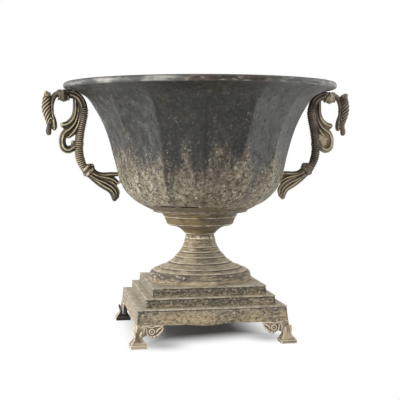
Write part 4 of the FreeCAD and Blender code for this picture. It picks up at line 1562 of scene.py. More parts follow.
@dataclass(frozen=True)
class Strand:
    """One tapering cast strand through knots of (x, y, z, radius)."""

    knots: Knots
    relief: Relief = Relief.PLAIN
    grooves: int = 0
    pitch: float = 0.0
    depth: float = 0.0
    flat: float = 1.0
    cuts: int = 18
    full_radius: float = 0.003
    section_cuts: int = 8

    def build(self) -> Piece:
        """Draw the strand as a curve with a round section, make it a mesh and carve it.

        Returns:
            The closed strand.
        """
        deselect()
        bpy.ops.curve.primitive_bezier_curve_add()
        curve = bpy.context.object
        spline = curve.data.splines[0]
        spline.bezier_points.add(len(self.knots) - 2)
        for point, (x, y, z, radius) in zip(spline.bezier_points, self.knots):
            point.co = (x, y, z)
            point.radius = radius
            point.handle_left_type = "AUTO"
            point.handle_right_type = "AUTO"
        curve.data.dimensions = "3D"
        curve.data.bevel_depth = 1.0
        curve.data.bevel_resolution = self.section_cuts
        curve.data.resolution_u = self.cuts
        bpy.ops.object.convert(target="MESH")
        piece = bpy.context.object
        self.carve(piece)
        start_edit()
        bpy.ops.mesh.fill_holes(sides=0)
        bpy.ops.mesh.normals_make_consistent(inside=False)
        return end_edit()

    def carve(self, piece: Piece) -> None:
        """Press the relief into the strand's rings.

        Args:
            piece: the open tube, whose points run ring by ring.
        """
        rings = (len(self.knots) - 1) * self.cuts + 1
        points = points_of(piece).reshape(rings, -1, 3)
        centre = points.mean(1, keepdims=True)
        arm = points - centre
        way = np.gradient(centre[:, 0], axis=0)
        steps = np.linalg.norm(np.diff(centre[:, 0], axis=0), axis=1)
        along = np.concatenate([[0.0], steps.cumsum()])[:, None]
        way /= np.linalg.norm(way, axis=1, keepdims=True)
        side = np.cross(way, (0.0, 1.0, 0.0))
        side /= np.maximum(np.linalg.norm(side, axis=1, keepdims=True), 1e-9)
        across = (arm * side[:, None]).sum(2)
        angle = np.arctan2(arm[..., 1], across)
        reach = np.maximum(np.linalg.norm(arm, axis=2), 1e-9)
        waves = np.cos(FULL_TURN * along / self.pitch) if self.pitch else 0.0
        if self.relief is Relief.RIBS:
            wave = waves * clamp(across / reach * 2.2 + 0.9)
        elif self.relief is Relief.RINGS:
            wave = waves
        elif self.relief is Relief.TWIST:
            wave = np.cos(self.grooves * angle + FULL_TURN * along / self.pitch)
        elif self.relief is Relief.FLUTES:
            wave = np.cos(self.grooves * angle)
        else:
            wave = 0.0
        thin = np.clip(reach / self.full_radius, 0.2, 1)
        arm = arm * (1 + self.depth * thin * (wave - 0.4) / reach)[..., None]
        arm[..., 1] *= self.flat
        move_points(piece, (centre + arm).reshape(-1, 3))


# Small solid forms that castings are put together from.


def ball(
    x: float, y: float, z: float, radius: float, stretch: Sequence[float] = (1, 1, 1)
) -> Piece:
    """A ball, stretched along the axes."""
    deselect()
    bpy.ops.mesh.primitive_uv_sphere_add(segments=24, ring_count=16, radius=radius, location=(x, y, z))
    start_edit()
    bpy.ops.transform.resize(value=tuple(stretch), center_override=(x, y, z))
    return settle(end_edit())


def ring(centre: Sequence[float], way: Sequence[float], radius: float, thick: float) -> Piece:
    """A ring round a direction."""
    deselect()
    turn = Vector((0, 0, 1)).rotation_difference(Vector(way)).to_euler()
    bpy.ops.mesh.primitive_torus_add(
        location=tuple(centre), rotation=turn, major_radius=radius, minor_radius=thick,
        major_segments=40, minor_segments=14,
    )
    return settle(bpy.context.object)


def block(low: Sequence[float], high: Sequence[float], edge: float) -> Piece:
    """A box with rounded edges."""
    middle = [(a + b) / 2 for a, b in zip(low, high)]
    spans = [b - a for a, b in zip(low, high)]
    deselect()
    bpy.ops.mesh.primitive_cube_add(size=1.0, location=middle)
    start_edit()
    bpy.ops.transform.resize(value=spans, center_override=middle)
    bpy.ops.mesh.bevel(offset=edge, segments=3, affect="EDGES")
    return settle(end_edit())


def in_plane(*knots: Triple) -> Knots:
    """Knots in the plane of the handles, from their x, z and radius in millimetres."""
    return tuple((x * MILLIMETRE, 0.0, z * MILLIMETRE, r * MILLIMETRE) for x, z, r in knots)


@dataclass
class Handle:
    """The cast sea-horse handle: ribbed neck, banded boss, maned head, leaf, scroll and fanned tail."""

    grain: float = 0.00052
    seat_gap: float = 0.0003
    rim_zone: float = 0.045
    wear_rounds: int = 12
    wear_reach: float = 0.00042
    flank_gain: float = 1.3
    webs: Knots = in_plane((178.5, 264.0, 6.2), (175.0, 271.2, 5.8))
    web_shape: Triple = (1.0, 0.4, 1.15)
    web_rub: float = 0.55
    neck_rub: float = 0.3
    right_rubs: Knots = (
        (0.1785, 0.2640, 0.023, 0.42), (0.1868, 0.3262, 0.009, 0.45), (0.1772, 0.2915, 0.009, 0.30),
    )
    left_rubs: Knots = (
        (0.1660, 0.2400, 0.014, 0.16), (0.1620, 0.3080, 0.014, -0.22), (0.1868, 0.3262, 0.009, -0.20),
        (0.2090, 0.3030, 0.014, 0.12),
    )
    neck_reach: float = 0.0095
    neck_fade: float = 0.003
    neck_fill: int = 18
    upper_fill: float = 0.3
    neck_relief: float = 0.4
    # How dark each handle's sides are painted, as shade.
    bright_flank_shade: float = 0.4
    dark_flank_shade: float = 0.65
    dark_relief: float = 0.5
    tail_rub: float = 0.25
    tail_fade: float = 0.02
    spared: float = 0.7
    spared_reach: float = 0.009
    rib_pitch: float = 0.0027
    rib_depth: float = 0.0009
    knuckle: Knot = (0.1544, 0, 0.2254, 0.0068)
    knuckle_ends: Knots = in_plane((150.3, 230.6, 4.0), (157.6, 221.3, 4.7))
    boss: Knot = (0.1868, 0, 0.3262, 0.0080)
    boss_lobes: Knots = in_plane((192.2, 330.0, 4.8), (181.2, 329.6, 5.8))
    band_thick: float = 0.0013
    band_sink: float = 0.45
    bands: Spots = ((-0.0042, -0.5), (0.0002, 0.0), (0.0046, 0.5))
    knuckle_rings: Spots = ((0.0044, 0.82), (-0.0028, 0.98))
    knuckle_thick: float = 0.0022
    tip_swell: float = 1.08
    leaf_ring: Triple = (0.0012, 0.0022, 0.0014)
    ears: Spots = ((0.0024, 0.0054), (-0.0040, 0.0030))
    ear_shares: Knots = (
        (0.0, 0.0024, 0.0, 0.0038), (0.7, 0.0030, 0.6, 0.0030), (1.0, 0.0032, 1.0, 0.0018),
    )
    eye: Knot = (0.2038, 0.0040, 0.2955, 0.0013)
    neck_low: Knots = in_plane(
        (158.8, 226.5, 5.5), (162.8, 233.8, 5.8), (165.5, 241.0, 6.4), (166.8, 248.2, 6.3),
        (167.1, 254.8, 6.2), (166.7, 262.6, 6.2),
    )
    neck_high: Knots = in_plane(
        (166.8, 260.4, 6.1), (166.4, 268.1, 6.3), (165.4, 275.8, 6.2), (164.1, 283.6, 6.3),
        (162.4, 291.3, 6.3), (161.0, 299.0, 6.4), (160.5, 305.7, 6.5), (161.2, 310.0, 6.4),
    )
    arch: Knots = in_plane(
        (160.4, 304.0, 5.4), (162.0, 313.4, 6.1), (165.2, 320.5, 6.1), (170.1, 325.5, 6.0),
        (177.0, 328.4, 6.1), (186.8, 328.2, 6.0), (193.0, 328.4, 4.8),
    )
    leaf: Knots = in_plane(
        (171.2, 322.7, 3.0), (171.1, 314.4, 3.4), (171.3, 305.6, 3.6), (173.1, 297.9, 4.0),
        (178.4, 290.7, 4.0), (185.0, 287.1, 3.8), (188.8, 286.8, 3.1),
    )
    scroll: Knots = in_plane(
        (167.6, 315.5, 2.4), (167.6, 305.6, 3.0), (169.3, 296.8, 3.4), (173.2, 288.0, 3.6),
        (179.3, 281.3, 4.0), (185.1, 276.9, 4.3), (188.5, 270.3, 4.3), (189.1, 262.6, 4.3),
        (186.6, 255.6, 4.8), (181.1, 253.4, 4.8), (175.2, 256.0, 4.4), (170.5, 259.0, 3.6),
    )
    frond: Knots = in_plane(
        (165.1, 305.6, 2.6), (166.0, 295.7, 3.2), (168.8, 285.8, 3.6), (172.7, 279.1, 3.8),
        (177.7, 273.8, 3.4), (181.0, 270.6, 2.2),
    )
    hook: Knots = in_plane((175.4, 256.5, 4.0), (173.0, 260.4, 3.4), (175.2, 263.0, 2.8))
    nape: Knots = in_plane(
        (189.0, 328.6, 3.6), (195.5, 328.4, 3.7), (199.6, 325.0, 3.7), (201.9, 319.5, 3.2),
        (203.0, 312.6, 2.7), (202.8, 306.6, 2.4), (202.2, 300.6, 2.0),
    )
    mane: Knots = in_plane(
        (209.0, 327.0, 4.6), (209.6, 321.2, 5.6), (210.2, 314.3, 6.1), (210.1, 307.4, 6.0),
        (209.0, 300.6, 5.4), (207.7, 294.6, 4.6), (206.7, 288.5, 3.4),
    )
    muzzle: Knots = in_plane(
        (206.7, 292.0, 3.2), (206.9, 284.0, 3.1), (207.4, 278.5, 4.0), (207.1, 274.8, 3.4),
        (206.9, 272.8, 1.8),
    )
    jaw: Knots = in_plane(
        (202.6, 304.0, 1.6), (201.4, 297.2, 2.8), (200.3, 291.2, 3.6), (199.8, 285.2, 3.8),
        (200.0, 281.2, 3.0), (200.4, 279.2, 1.4),
    )
    tail_top: Knots = in_plane(
        (150.5, 224.8, 4.7), (142.8, 220.3, 3.5), (133.9, 218.8, 3.2), (125.0, 219.4, 3.2),
        (116.0, 219.6, 2.6), (109.5, 220.0, 2.2),
    )
    tail_second: Knots = in_plane(
        (149.4, 221.5, 4.4), (139.5, 217.0, 3.9), (129.5, 215.0, 3.9), (120.6, 211.8, 3.7),
        (114.0, 206.6, 2.9),
    )
    tail_third: Knots = in_plane(
        (150.6, 219.3, 4.5), (140.6, 213.1, 4.7), (129.5, 208.2, 5.0), (120.6, 202.1, 5.2),
        (116.2, 195.5, 4.6), (116.1, 189.4, 3.4),
    )
    tail_low: Knots = in_plane(
        (154.8, 220.4, 3.6), (142.9, 210.6, 4.2), (132.9, 203.5, 4.3), (124.0, 197.9, 4.3),
        (119.6, 191.1, 4.4), (119.1, 186.2, 3.4),
    )

    def strands(self) -> list[Strand]:
        """Every strand of the casting with its carving."""
        return [
            Strand(self.neck_low, Relief.RINGS, 0, self.rib_pitch, self.rib_depth, 0.95, 30),
            Strand(self.neck_high, Relief.RIBS, 0, self.rib_pitch, self.rib_depth, 0.95, 30),
            Strand(self.arch, Relief.FLUTES, 7, 0.0, 0.0006),
            Strand(self.leaf, Relief.FLUTES, 4, 0.0, 0.0008, 1.25),
            Strand(self.scroll, Relief.FLUTES, 4, 0.0, 0.0010, 1.2),
            Strand(self.frond, Relief.FLUTES, 4, 0.0, 0.0008, 1.35),
            Strand(self.hook),
            Strand(self.nape, Relief.FLUTES, 4, 0.0, 0.0005),
            Strand(self.mane, Relief.TWIST, 6, 0.0054, 0.0010, 0.9, 30),
            Strand(self.muzzle, flat=0.9),
            Strand(self.jaw, Relief.FLUTES, 4, 0.0, 0.0005, 1.1),
            Strand(self.tail_top, Relief.FLUTES, 4, 0.0, 0.0008, 1.25),
            Strand(self.tail_second, Relief.FLUTES, 4, 0.0, 0.0009, 1.3),
            Strand(self.tail_third, Relief.FLUTES, 5, 0.0, 0.0011, 1.2),
            Strand(self.tail_low, Relief.FLUTES, 4, 0.0, 0.0010, 1.1),
        ]

    def forms(self) -> list[Piece]:
        """The balls, bands, rings, ears and eyes between the strands."""
        balls = (self.boss, *self.boss_lobes, self.knuckle, *self.knuckle_ends)
        pieces = [ball(*knot) for knot in balls]
        x, y, z, radius = self.boss
        for shift, tilt in self.bands:
            reach = math.sqrt(radius ** 2 - shift ** 2) - self.band_thick * self.band_sink
            pieces.append(ring((x + shift, y, z), (1, 0, tilt), reach, self.band_thick))
        x, y, z, radius = self.knuckle
        way = Vector((self.neck_low[1][0] - x, 0, self.neck_low[1][2] - z)).normalized()
        for shift, share in self.knuckle_rings:
            centre = Vector((x, y, z)) + way * shift
            pieces.append(ring(centre, way, radius * share, self.knuckle_thick))
        for knots in (self.leaf, self.tail_low, self.tail_third, self.frond, self.hook):
            x, y, z, radius = knots[-1]
            pieces.append(ball(x, y, z, radius * self.tip_swell))
        x, y, z, _ = self.leaf[-1]
        shift, reach, thick = self.leaf_ring
        pieces.append(ring((x - shift, y, z - shift), (0, 1, 0), reach, thick))
        x, _, z, _ = self.mane[0]
        for side in (-1, 1):
            for lean, rise in self.ears:
                ear = Strand(tuple(
                    (x + lean * out, side * width, z + rise * up, radius)
                    for out, width, up, radius in self.ear_shares
                ))
                pieces.append(ear.build())
            pieces.append(ball(self.eye[0], side * self.eye[1], *self.eye[2:]))
        return pieces

    def build(self, bowl: Bowl, bright: Finish, dark: Finish) -> None:
        """Cast the right handle, fit it to the bowl and copy it to the left.

        Args:
            bowl: the bowl that carries it.
            bright: the finish of the left handle, whose relief is rubbed.
            dark: the finish of the right handle, which keeps more of its paint.
        """
        pieces = [strand.build() for strand in self.strands()] + self.forms()
        handle = melt(pieces, self.grain, 1)
        points = self.fitted(points_of(handle), bowl)
        move_points(handle, points)
        mark_wear(handle, self.wear_rounds, self.wear_reach)
        self.spare_ends(handle, points)
        # Painted shade on the handle's sides, the faces that do not face front or back; the right handle
        # gets more of it.
        flank_shade = clamp(1 - self.flank_gain * np.abs(normals_of(handle)[:, 1]))
        twin = copy_turned(handle, HALF_TURN)
        keep_marks(
            twin,
            inside=flank_shade * self.bright_flank_shade,
            edge=read_mark(twin, "edge") + self.rub(points, self.left_rubs),
        )
        neck = self.fill_ribs(handle, points)
        relief = (1 - (1 - self.neck_relief) * neck) * self.dark_relief
        tail = clamp((self.knuckle[0] - points[:, 0]) / self.tail_fade)
        rub = self.tail_rub * tail + self.rub(points, self.right_rubs) * (1 - (1 - self.neck_rub) * neck)
        keep_marks(
            handle,
            inside=flank_shade * self.dark_flank_shade,
            edge=read_mark(handle, "edge") * relief + rub,
            hollow=read_mark(handle, "hollow") * relief,
        )
        webs = [ball(*knot, self.web_shape) for knot in self.webs]
        for web in webs:
            keep_marks(web, edge=np.full(len(web.data.vertices), self.web_rub))
        handle = join_pieces([handle, *webs])
        dress(handle, "handle_right_cast", dark, "handle_right")
        dress(twin, "handle_left_cast", bright, "handle_left")

    @staticmethod
    def rub(points: Array, spots: Sequence[Knot]) -> Array:
        """How much more a casting is rubbed round a few places.

        Args:
            points: its points.
            spots: the x, z, reach and strength of each place.

        Returns:
            One value for each point.
        """
        total = np.zeros(len(points))
        for x, z, reach, strength in spots:
            total += strength * bell(from_place(points, x, z), reach)
        return total

    def fill_ribs(self, handle: Piece, points: Array) -> Array:
        """Fill the ribs of the neck with paint.

        Args:
            handle: the casting.
            points: its points.

        Returns:
            How far each point belongs to the neck, from 0 to 1.
        """
        knots = np.array(self.neck_low + self.neck_high)
        spans = np.hypot(points[:, :1] - knots[:, 0], points[:, 2:] - knots[:, 2])
        away = spans.min(1)
        lower = spans.argmin(1) < len(self.neck_low)
        group = handle.vertex_groups.new(name="neck")
        for half, share in ((lower, 1.0), (~lower, self.upper_fill)):
            group.add(np.flatnonzero((away < self.neck_reach) & half).tolist(), share, "REPLACE")
        apply_modifier(handle, "SMOOTH", factor=0.5, iterations=self.neck_fill, vertex_group=group.name)
        handle.vertex_groups.clear()
        return clamp((self.neck_reach - away) / self.neck_fade)

    def spare_ends(self, handle: Piece, points: Array) -> None:
        """Keep the boss, the nape, the muzzle and the tail's tip dark, where no hand rubs them.

        Args:
            handle: the marked casting.
            points: its points.
        """
        edge = read_mark(handle, "edge")
        for x, _, z, _ in (self.boss, self.nape[2], self.muzzle[2], self.tail_low[-1]):
            edge *= 1 - self.spared * bell(from_place(points, x, z), self.spared_reach)
        keep_marks(handle, edge=edge)

    def fitted(self, points: Array, bowl: Bowl) -> Array:
        """Press the casting's seats to the bowl's face and the roll's underside.

        Args:
            points: the casting's points.
            bowl: the bowl that carries it.

        Returns:
            The points, none of them inside the bowl or outside the handle's own box.
        """
        reach = from_axis(points)
        least = bowl.outer_reach(points) + self.seat_gap
        push = np.where(points[:, 2] < bowl.roll_height, np.maximum(least / reach, 1.0), 1.0)
        near_rim = (points[:, 2] > bowl.roll_height - self.rim_zone) & (push > 1.0)
        outline = np.array(bowl.outline())
        ceiling = np.interp(reach, outline[:, 0], outline[:, 1]) - self.seat_gap
        moved = points.copy()
        moved[:, 2] = np.where(near_rim, np.minimum(points[:, 2], ceiling), points[:, 2])
        side = np.where(near_rim, 1.0, push)[:, None]
        moved[:, :2] = points[:, :2] * side
        low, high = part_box("handle_right")
        return np.clip(moved, np.array(low), np.array(high))


@dataclass
class Foot:
    """A cast corner foot: square pad, waisted ankle with leaves, and two scrolled wings."""

    grain: float = 0.00043
    wear_rounds: int = 12
    wear_reach: float = 0.0005
    # How much of the painted shade the front feet keep.
    front_shade: float = 0.3
    corner: float = 0.1007
    apron: float = 0.028
    pad_low: float = 0.0883
    pad_high: float = 0.1098
    pad_height: float = 0.0050
    pad_edge: float = 0.0007
    ledge: float = 0.0016
    ledge_foot: float = 0.002
    ledge_rise: float = 0.0018
    ledge_edge: float = 0.0009
    ankle: Triples = (
        (0.0066, 0.0902, 0.1078), (0.0082, 0.0914, 0.1060), (0.0105, 0.0924, 0.1045),
        (0.0135, 0.0930, 0.1033), (0.0170, 0.0925, 0.1025), (0.0215, 0.0906, 0.1018),
        (0.0262, 0.0890, 0.1011),
    )
    slice_half: float = 0.0008
    slice_edge: float = 0.0004
    leaf_tips: Knots = (
        (0.1028, 0.1028, 0.0006, 0.0006), (0.1030, 0.0958, 0.0012, -0.0006),
        (0.0958, 0.1030, -0.0006, 0.0012),
    )
    leaf_levels: Triples = (
        (0.0, 0.0140, 0.0012), (0.0, 0.0168, 0.0018), (1.0, 0.0195, 0.0014), (2.0, 0.0222, 0.0006),
    )
    lug_face: float = 0.09695
    lug_width: float = 0.0092
    lug_foot: float = 0.018
    lug_edge: float = 0.0008
    wing_length: float = 0.035
    wing_depth: float = 0.0165
    wing_thick: float = 0.0038
    plate_sink: float = 0.0007
    strand_sink: float = 0.0008
    ball_sink: float = 0.0006
    strand_cuts: int = 10
    wing_shares: Spots = (
        (0.0, -0.06), (1.0, -0.06), (0.99, 0.22), (0.95, 0.44), (0.86, 0.68), (0.76, 0.90), (0.66, 1.00),
        (0.56, 0.96), (0.48, 0.80), (0.40, 0.74), (0.32, 0.80), (0.26, 0.88), (0.0, 0.88),
    )
    strand_shares: tuple[Triples, ...] = (
        (
            (0.20, 0.03, 0.0009), (0.40, 0.05, 0.0010), (0.55, 0.13, 0.0010), (0.70, 0.05, 0.0010),
            (0.99, 0.04, 0.0008),
        ),
        ((0.99, 0.20, 0.0010), (0.93, 0.42, 0.0013), (0.84, 0.62, 0.0015), (0.75, 0.78, 0.0014)),
        ((0.96, 0.12, 0.0009), (0.86, 0.22, 0.0013), (0.78, 0.36, 0.0013), (0.72, 0.52, 0.0010)),
        ((0.22, 0.10, 0.0011), (0.27, 0.36, 0.0016), (0.27, 0.60, 0.0016), (0.23, 0.84, 0.0011)),
        ((0.36, 0.16, 0.0009), (0.37, 0.40, 0.0013), (0.40, 0.62, 0.0013), (0.46, 0.76, 0.0009)),
    )
    ring_place: Spot = (0.57, 0.46)
    ring_radius: float = 0.0033
    ring_thick: float = 0.0011
    ball_shares: Triples = (
        (0.66, 0.88, 0.0021), (0.57, 0.46, 0.0011), (0.56, 0.84, 0.0012), (0.75, 0.76, 0.0012),
    )

    def on_wing(self, along: float, down: float, out: float) -> Triple:
        """A point of the wing along +Y: shares along and down, and a distance out of its face."""
        return (
            self.corner + out,
            self.corner - along * self.wing_length,
            self.apron - down * self.wing_depth,
        )

    def wing(self, swap: bool) -> list[Piece]:
        """One wing with its rolled lip, petals, scroll ring and balls.

        Args:
            swap: whether it lies along X and not along Y.

        Returns:
            Its pieces.
        """
        def placed(point: Sequence[float]) -> tuple[float, ...]:
            """The point on the chosen side of the corner."""
            return (point[1], point[0], *point[2:]) if swap else tuple(point)

        pieces = [self.plate(swap)]
        for shares in self.strand_shares:
            knots = tuple(
                placed((*self.on_wing(along, down, -self.strand_sink), radius))
                for along, down, radius in shares
            )
            pieces.append(Strand(knots, cuts=self.strand_cuts).build())
        for along, down, radius in self.ball_shares:
            pieces.append(ball(*placed(self.on_wing(along, down, -self.ball_sink)), radius))
        centre = placed(self.on_wing(*self.ring_place, -self.ball_sink))
        pieces.append(ring(centre, placed((1, 0, 0)), self.ring_radius, self.ring_thick))
        return pieces

    def plate(self, swap: bool) -> Piece:
        """The wing's flat back plate.

        Args:
            swap: whether it lies along X and not along Y.

        Returns:
            The closed plate.
        """
        draw_outline([self.on_wing(along, down, 0.0)[1:] for along, down in self.wing_shares])
        bpy.ops.mesh.edge_face_add()
        bpy.ops.transform.translate(value=(0, self.corner - self.plate_sink, 0))
        bpy.ops.mesh.extrude_region_move(TRANSFORM_OT_translate={"value": (0, -self.wing_thick, 0)})
        piece = close_mesh()
        if not swap:
            move_points(piece, points_of(piece)[:, [1, 0, 2]])
            start_edit()
            piece = close_mesh()
        return piece

    def leg(self) -> list[Piece]:
        """The pad, the waisted ankle and the leaves down its corner."""
        low, high, top = self.pad_low, self.pad_high, self.pad_height
        pieces = [block((low, low, 0.0), (high, high, top), self.pad_edge)]
        low += self.ledge
        high -= self.ledge
        top += self.ledge_rise
        pieces.append(block((low, low, self.ledge_foot), (high, high, top), self.ledge_edge))
        for level, low, high in smooth_line(self.ankle, 5):
            base, top = level - self.slice_half, level + self.slice_half
            pieces.append(block((low, low, base), (high, high, top), self.slice_edge))
        for x, y, lean_x, lean_y in self.leaf_tips:
            knots = tuple(
                (x + share * lean_x, y + share * lean_y, level, radius)
                for share, level, radius in self.leaf_levels
            )
            pieces.append(Strand(knots, cuts=self.strand_cuts).build())
        return pieces

    def lug(self) -> Piece:
        """The lug that stands up inside the apron."""
        face = self.lug_face
        back = face - self.lug_width
        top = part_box("foot_back_right")[1].z
        return block((back, back, self.lug_foot), (face, face, top), self.lug_edge)

    def build(self, finish: Finish) -> None:
        """Cast one foot, paint shade on its inward faces and copy it to the other corners.

        Args:
            finish: the feet's finish.
        """
        pieces = self.leg() + self.wing(False) + self.wing(True) + [self.lug()]
        foot = melt(pieces, self.grain, 2)
        low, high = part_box("foot_back_right")
        move_points(foot, np.clip(points_of(foot), np.array(low), np.array(high)))
        mark_wear(foot, self.wear_rounds, self.wear_reach)
        # Painted shade: faces that turn towards the plinth's middle go near black, and the front feet get
        # only a share of it.
        inward = -normals_of(foot)[:, :2].min(1)
        inside = clamp(inward * 2.0 - 0.3)
        keep_marks(foot, inside=inside)
        corners = ("back_left", "front_left", "front_right")
        twins = [copy_turned(foot, QUARTER_TURN * (turn + 1)) for turn in range(len(corners))]
        dress(foot, "foot_back_right_cast", finish, "foot_back_right")
        for corner, twin in zip(corners, twins):
            if corner.startswith("front"):
                keep_marks(twin, inside=inside * self.front_shade)
            dress(twin, "foot_%s_cast" % corner, finish, "foot_" + corner)


@dataclass
class Solder:
    """The lumps of solder in the slit between cup and bowl, with a thin run that joins them."""

    count: int = 12
    seat_radius: float = 0.066
    lump_radius: float = 0.0018
    lump_height: float = 0.46
    run_share: float = 0.7
    uneven: float = 0.004
    uneven_size: float = 0.0016
    wear_rounds: int = 2
    wear_reach: float = 0.0005

    def build(self, finish: Finish) -> None:
        """Model one lump after another, each a little different.

        Args:
            finish: the solder's finish.
        """
        low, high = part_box("seam_tacks")
        middle = (low.z + high.z) / 2
        reach = self.seat_radius - self.lump_radius
        pieces = []
        for index in range(self.count):
            angle = FULL_TURN * (index + 0.5) / self.count
            width = 1.0 + 0.5 * math.sin(index * 2.4)
            lump = ball(reach, 0, middle, self.lump_radius, (1.0, width, self.lump_height))
            lump.data.transform(Matrix.Rotation(angle, 4, "Z"))
            pieces.append(lump)
        pieces.append(ring((0, 0, middle), (0, 0, 1), reach, self.lump_radius * self.run_share))
        lumps = join_pieces(pieces)
        points = points_of(lumps)
        points[:, :2] *= (1 + self.uneven * wobble(points, self.uneven_size, 2.2))[:, None]
        points[:, 2] = np.clip(points[:, 2], low.z, high.z)
        move_points(lumps, points)
        mark_wear(lumps, self.wear_rounds, self.wear_reach)
        dress(lumps, "solder_lumps", finish, "seam_tacks")


@dataclass
class Studio:
    """The pale floor, soft light and the camera."""

    camera_place: Triple = (-0.2299, -1.2666, 0.2611)
    heading: float = math.radians(10.289)
    pitch: float = math.radians(-3.469)
    lens: float = 83.22
    sensor: float = 36.0
    floor_size: float = 9.0
    shadow_slant: float = 0.22
    shadow_left: Spot = (0.045, 0.118)
    shadow_right: Spot = (0.042, 0.122)
    shadow_front: Spot = (0.018, 0.102)
    shadow_back: Spot = (0.10, 0.16)
    foot_shadows: Triples = ((0.082, -0.068, 0.0), (-0.064, -0.096, 0.0))
    foot_shade: float = 0.50
    foot_shade_reach: float = 0.042
    shaded_floor: Colour = (0.38, 0.39, 0.41)
    lit_floor: Colour = (0.76, 0.79, 0.82)
    white_floor: Spot = (0.10, 0.20)
    ambient: float = 0.44
    aim: Triple = (0.0, 0.0, 0.17)
    lamps: tuple[tuple[str, Triple, float, float], ...] = (
        ("left_lamp", (-1.45, -0.45, 0.45), 17.0, 0.9),
        ("right_lamp", (1.6, 0.10, 0.70), 7.0, 1.0),
        ("top_lamp", (-0.2, 0.2, 1.9), 10.0, 1.4),
    )

    def camera(self) -> None:
        """Stand the camera where the photograph was taken."""
        data = bpy.data.cameras.new("camera")
        data.lens = self.lens
        data.sensor_width = self.sensor
        data.dof.use_dof = False
        camera = bpy.data.objects.new("camera", data)
        camera.location = self.camera_place
        camera.rotation_euler = (QUARTER_TURN + self.pitch, 0, -self.heading)
        bpy.context.scene.collection.objects.link(camera)
        bpy.context.scene.camera = camera

    def floor(self) -> None:
        """A pale floor that fades into the white backdrop, with a painted shadow under the plinth and round
        two feet on top of the shadow that the lamps cast.
        """
        deselect()
        bpy.ops.mesh.primitive_circle_add(vertices=96, radius=self.floor_size, fill_type="NGON")
        floor = bpy.context.object
        floor.name = "floor"
        material = bpy.data.materials.new("pale_floor")
        mix = Recipe(material)
        flat = mix.node("ShaderNodeVectorMath", {"operation": "ABSOLUTE"}, {0: mix.place})
        side = mix.part(flat, 0)
        depth = mix.part(flat, 1)
        along = mix.part(mix.place, 0)
        ahead = along * self.shadow_slant - mix.part(mix.place, 1)
        ends = (-1.0 * along).ease(*self.shadow_left).larger(along.ease(*self.shadow_right))
        clear = ends.larger(ahead.ease(*self.shadow_front)).larger(depth.ease(*self.shadow_back))
        # Painted shadows round two feet.
        for spot in self.foot_shadows:
            gap = mix.node("ShaderNodeVectorMath", {"operation": "DISTANCE"}, {0: mix.place, 1: spot}, 1)
            clear = clear * (1 - self.foot_shade + gap.ease(0.0, self.foot_shade_reach) * self.foot_shade)
        # Painted shadow: near the plinth the floor is a darker grey, and it turns white further out.
        shaded = mix.node("ShaderNodeBsdfDiffuse", None, {"Color": self.shaded_floor})
        lit = mix.node("ShaderNodeBsdfDiffuse", None, {"Color": self.lit_floor})
        white = mix.node("ShaderNodeEmission", None, {"Color": WHITE, "Strength": 1.0})
        shown = mix.node("ShaderNodeMixShader", None, {0: clear, 1: shaded, 2: white})
        far = side.larger(depth).ease(*self.white_floor) * 0.5
        bounced = mix.node("ShaderNodeMixShader", None, {0: far, 1: lit, 2: white})
        mix.end(mix.node("ShaderNodeMixShader", None, {0: self.seen(mix), 1: bounced, 2: shown}))
        floor.data.materials.append(material)

    @staticmethod
    def seen(mix: Recipe) -> Value:
        """1 for rays that show the backdrop itself: from the camera, mirrored or through glass."""
        rays = ("Is Camera Ray", "Is Glossy Ray", "Is Transmission Ray")
        camera, glossy, through = (mix.node("ShaderNodeLightPath", output=ray) for ray in rays)
        return camera.larger(glossy).larger(through)

    def world(self) -> None:
        """A white backdrop that lights the urn at a plain level."""
        world = bpy.data.worlds.new("studio")
        bpy.context.scene.world = world
        mix = Recipe(world)
        strength = self.ambient + self.seen(mix) * (1 - self.ambient)
        sky = mix.node("ShaderNodeBackground", None, {"Color": WHITE, "Strength": strength})
        mix.end(sky, "ShaderNodeOutputWorld")

    def lamp(self, name: str, place: Sequence[float], power: float, size: float) -> None:
        """Hang one soft lamp that faces the urn.

        Args:
            name: its name.
            place: where it hangs.
            power: its power in watts.
            size: its width.
        """
        data = bpy.data.lights.new(name, "AREA")
        data.energy = power
        data.size = size
        lamp = bpy.data.objects.new(name, data)
        lamp.location = place
        aim = Vector(self.aim) - Vector(place)
        lamp.rotation_euler = aim.to_track_quat("-Z", "Y").to_euler()
        bpy.context.scene.collection.objects.link(lamp)

    def build(self) -> None:
        """Set up camera, floor, backdrop and lamps."""
        bpy.context.scene.view_settings.view_transform = "Standard"
        self.camera()
        self.floor()
        self.world()
        for lamp in self.lamps:
            self.lamp(*lamp)


BOWL_PAINT = WeatheredBowl(
    name="bowl_paint", slot="bowl_sheet",
    coat_dark=(0.025, 0.025, 0.022), coat_grey_and_light=(0.112, 0.112, 0.108), coat_olive=(0.036, 0.035, 0.026),
    primer=(0.133, 0.104, 0.070), primer_mauve=(0.111, 0.084, 0.069),
    khaki=(0.350, 0.298, 0.190), khaki_brown=(0.275, 0.208, 0.135), khaki_mauve=(0.222, 0.170, 0.128),
    lap_khaki=(0.145, 0.112, 0.060),
    salt=(0.56, 0.51, 0.41), soot_and_shade=(0.012, 0.010, 0.008), rust=(0.096, 0.064, 0.046),
    rim_grey=(0.090, 0.091, 0.087), bare=(0.46, 0.44, 0.40),
    sound_height=0.284, worn_height=0.185, rim_height=0.3355, crest_height=0.3432,
)
STEM_PAINT = WornPaint(
    name="stem_paint", slot="stem_sheet",
    coat=(0.078, 0.062, 0.047), coat_tint=(0.190, 0.156, 0.121),
    wash=(0.58, 0.476, 0.319), wash_stain=(0.40, 0.312, 0.188), warm_wash=(0.228, 0.164, 0.072),
    chip=(0.82, 0.73, 0.57), streak=0.0022, marks=(3.2, 3.2, 0.7),
    spots=0.42, cover=0.26, chip_level=0.65, dust=0.35,
)
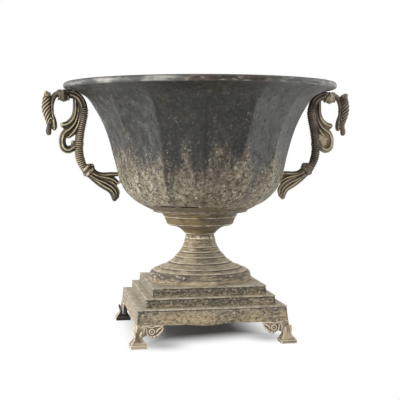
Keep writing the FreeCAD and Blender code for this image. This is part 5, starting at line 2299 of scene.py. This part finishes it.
PLINTH_PAINT = WornPaint(
    name="plinth_paint", slot="plinth_sheet",
    coat=(0.083, 0.069, 0.054), coat_tint=(0.184, 0.159, 0.124),
    wash=(0.57, 0.477, 0.333), wash_stain=(0.39, 0.319, 0.213), warm_wash=(0.62, 0.490, 0.302),
    chip=(0.74, 0.665, 0.52), streak=0.0030, marks=(1.25, 1.25, 0.72),
    spots=0.58, cover=0.40, chip_level=0.575, dust=0.75,
)
HANDLE_FINISH = RubbedCasting(
    name="handle_bronze", slot="handle_casting",
    deep=(0.016, 0.012, 0.007), body=(0.135, 0.105, 0.060), rubbed=(0.58, 0.48, 0.31), rub=0.04, metal=0.35,
)
HANDLE_DARK = RubbedCasting(
    name="handle_bronze_dark", slot="handle_casting",
    deep=(0.036, 0.027, 0.018), body=(0.215, 0.166, 0.118), rubbed=(0.62, 0.51, 0.33), rub=0.12, metal=0.30,
)
FOOT_FINISH = RubbedCasting(
    name="foot_gold", slot="foot_casting",
    deep=(0.100, 0.060, 0.026), body=(0.58, 0.46, 0.32), rubbed=(0.90, 0.77, 0.58), rub=0.30, metal=0.08,
)
SOLDER_FINISH = TarnishedSteel(
    name="dull_solder", slot="solder",
    bright=(0.42, 0.38, 0.30), tarnish=(0.24, 0.20, 0.14), metal=0.1,
)
STEEL_FINISH = TarnishedSteel(
    name="tarnished_steel", slot="fastener_steel",
    bright=(0.46, 0.43, 0.39), tarnish=(0.20, 0.15, 0.10), metal=0.9,
)
FASTENERS = (
    "rim_wire", "handle_rim_screws", "handle_tail_screws", "handle_tail_washers",
    "tie_rod", "bowl_nut", "bowl_washer", "base_nut", "base_washer",
)


def main() -> None:
    """Build every sub-assembly, dress the fasteners and set up the studio."""
    logging.basicConfig(level=logging.INFO, format="%(name)s %(message)s")
    bowl = Bowl()
    bowl.build(BOWL_PAINT)
    Stem().build(STEM_PAINT)
    Plinth().build(PLINTH_PAINT)
    Handle().build(bowl, HANDLE_FINISH, HANDLE_DARK)
    Foot().build(FOOT_FINISH)
    Solder().build(SOLDER_FINISH)
    for name in FASTENERS:
        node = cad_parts[name]
        node.data.materials.clear()
        node.data.materials.append(STEEL_FINISH.material)
        LOG.info("%s: fastener dressed", name)
    Studio().build()


if __name__ == "__main__":
    main()
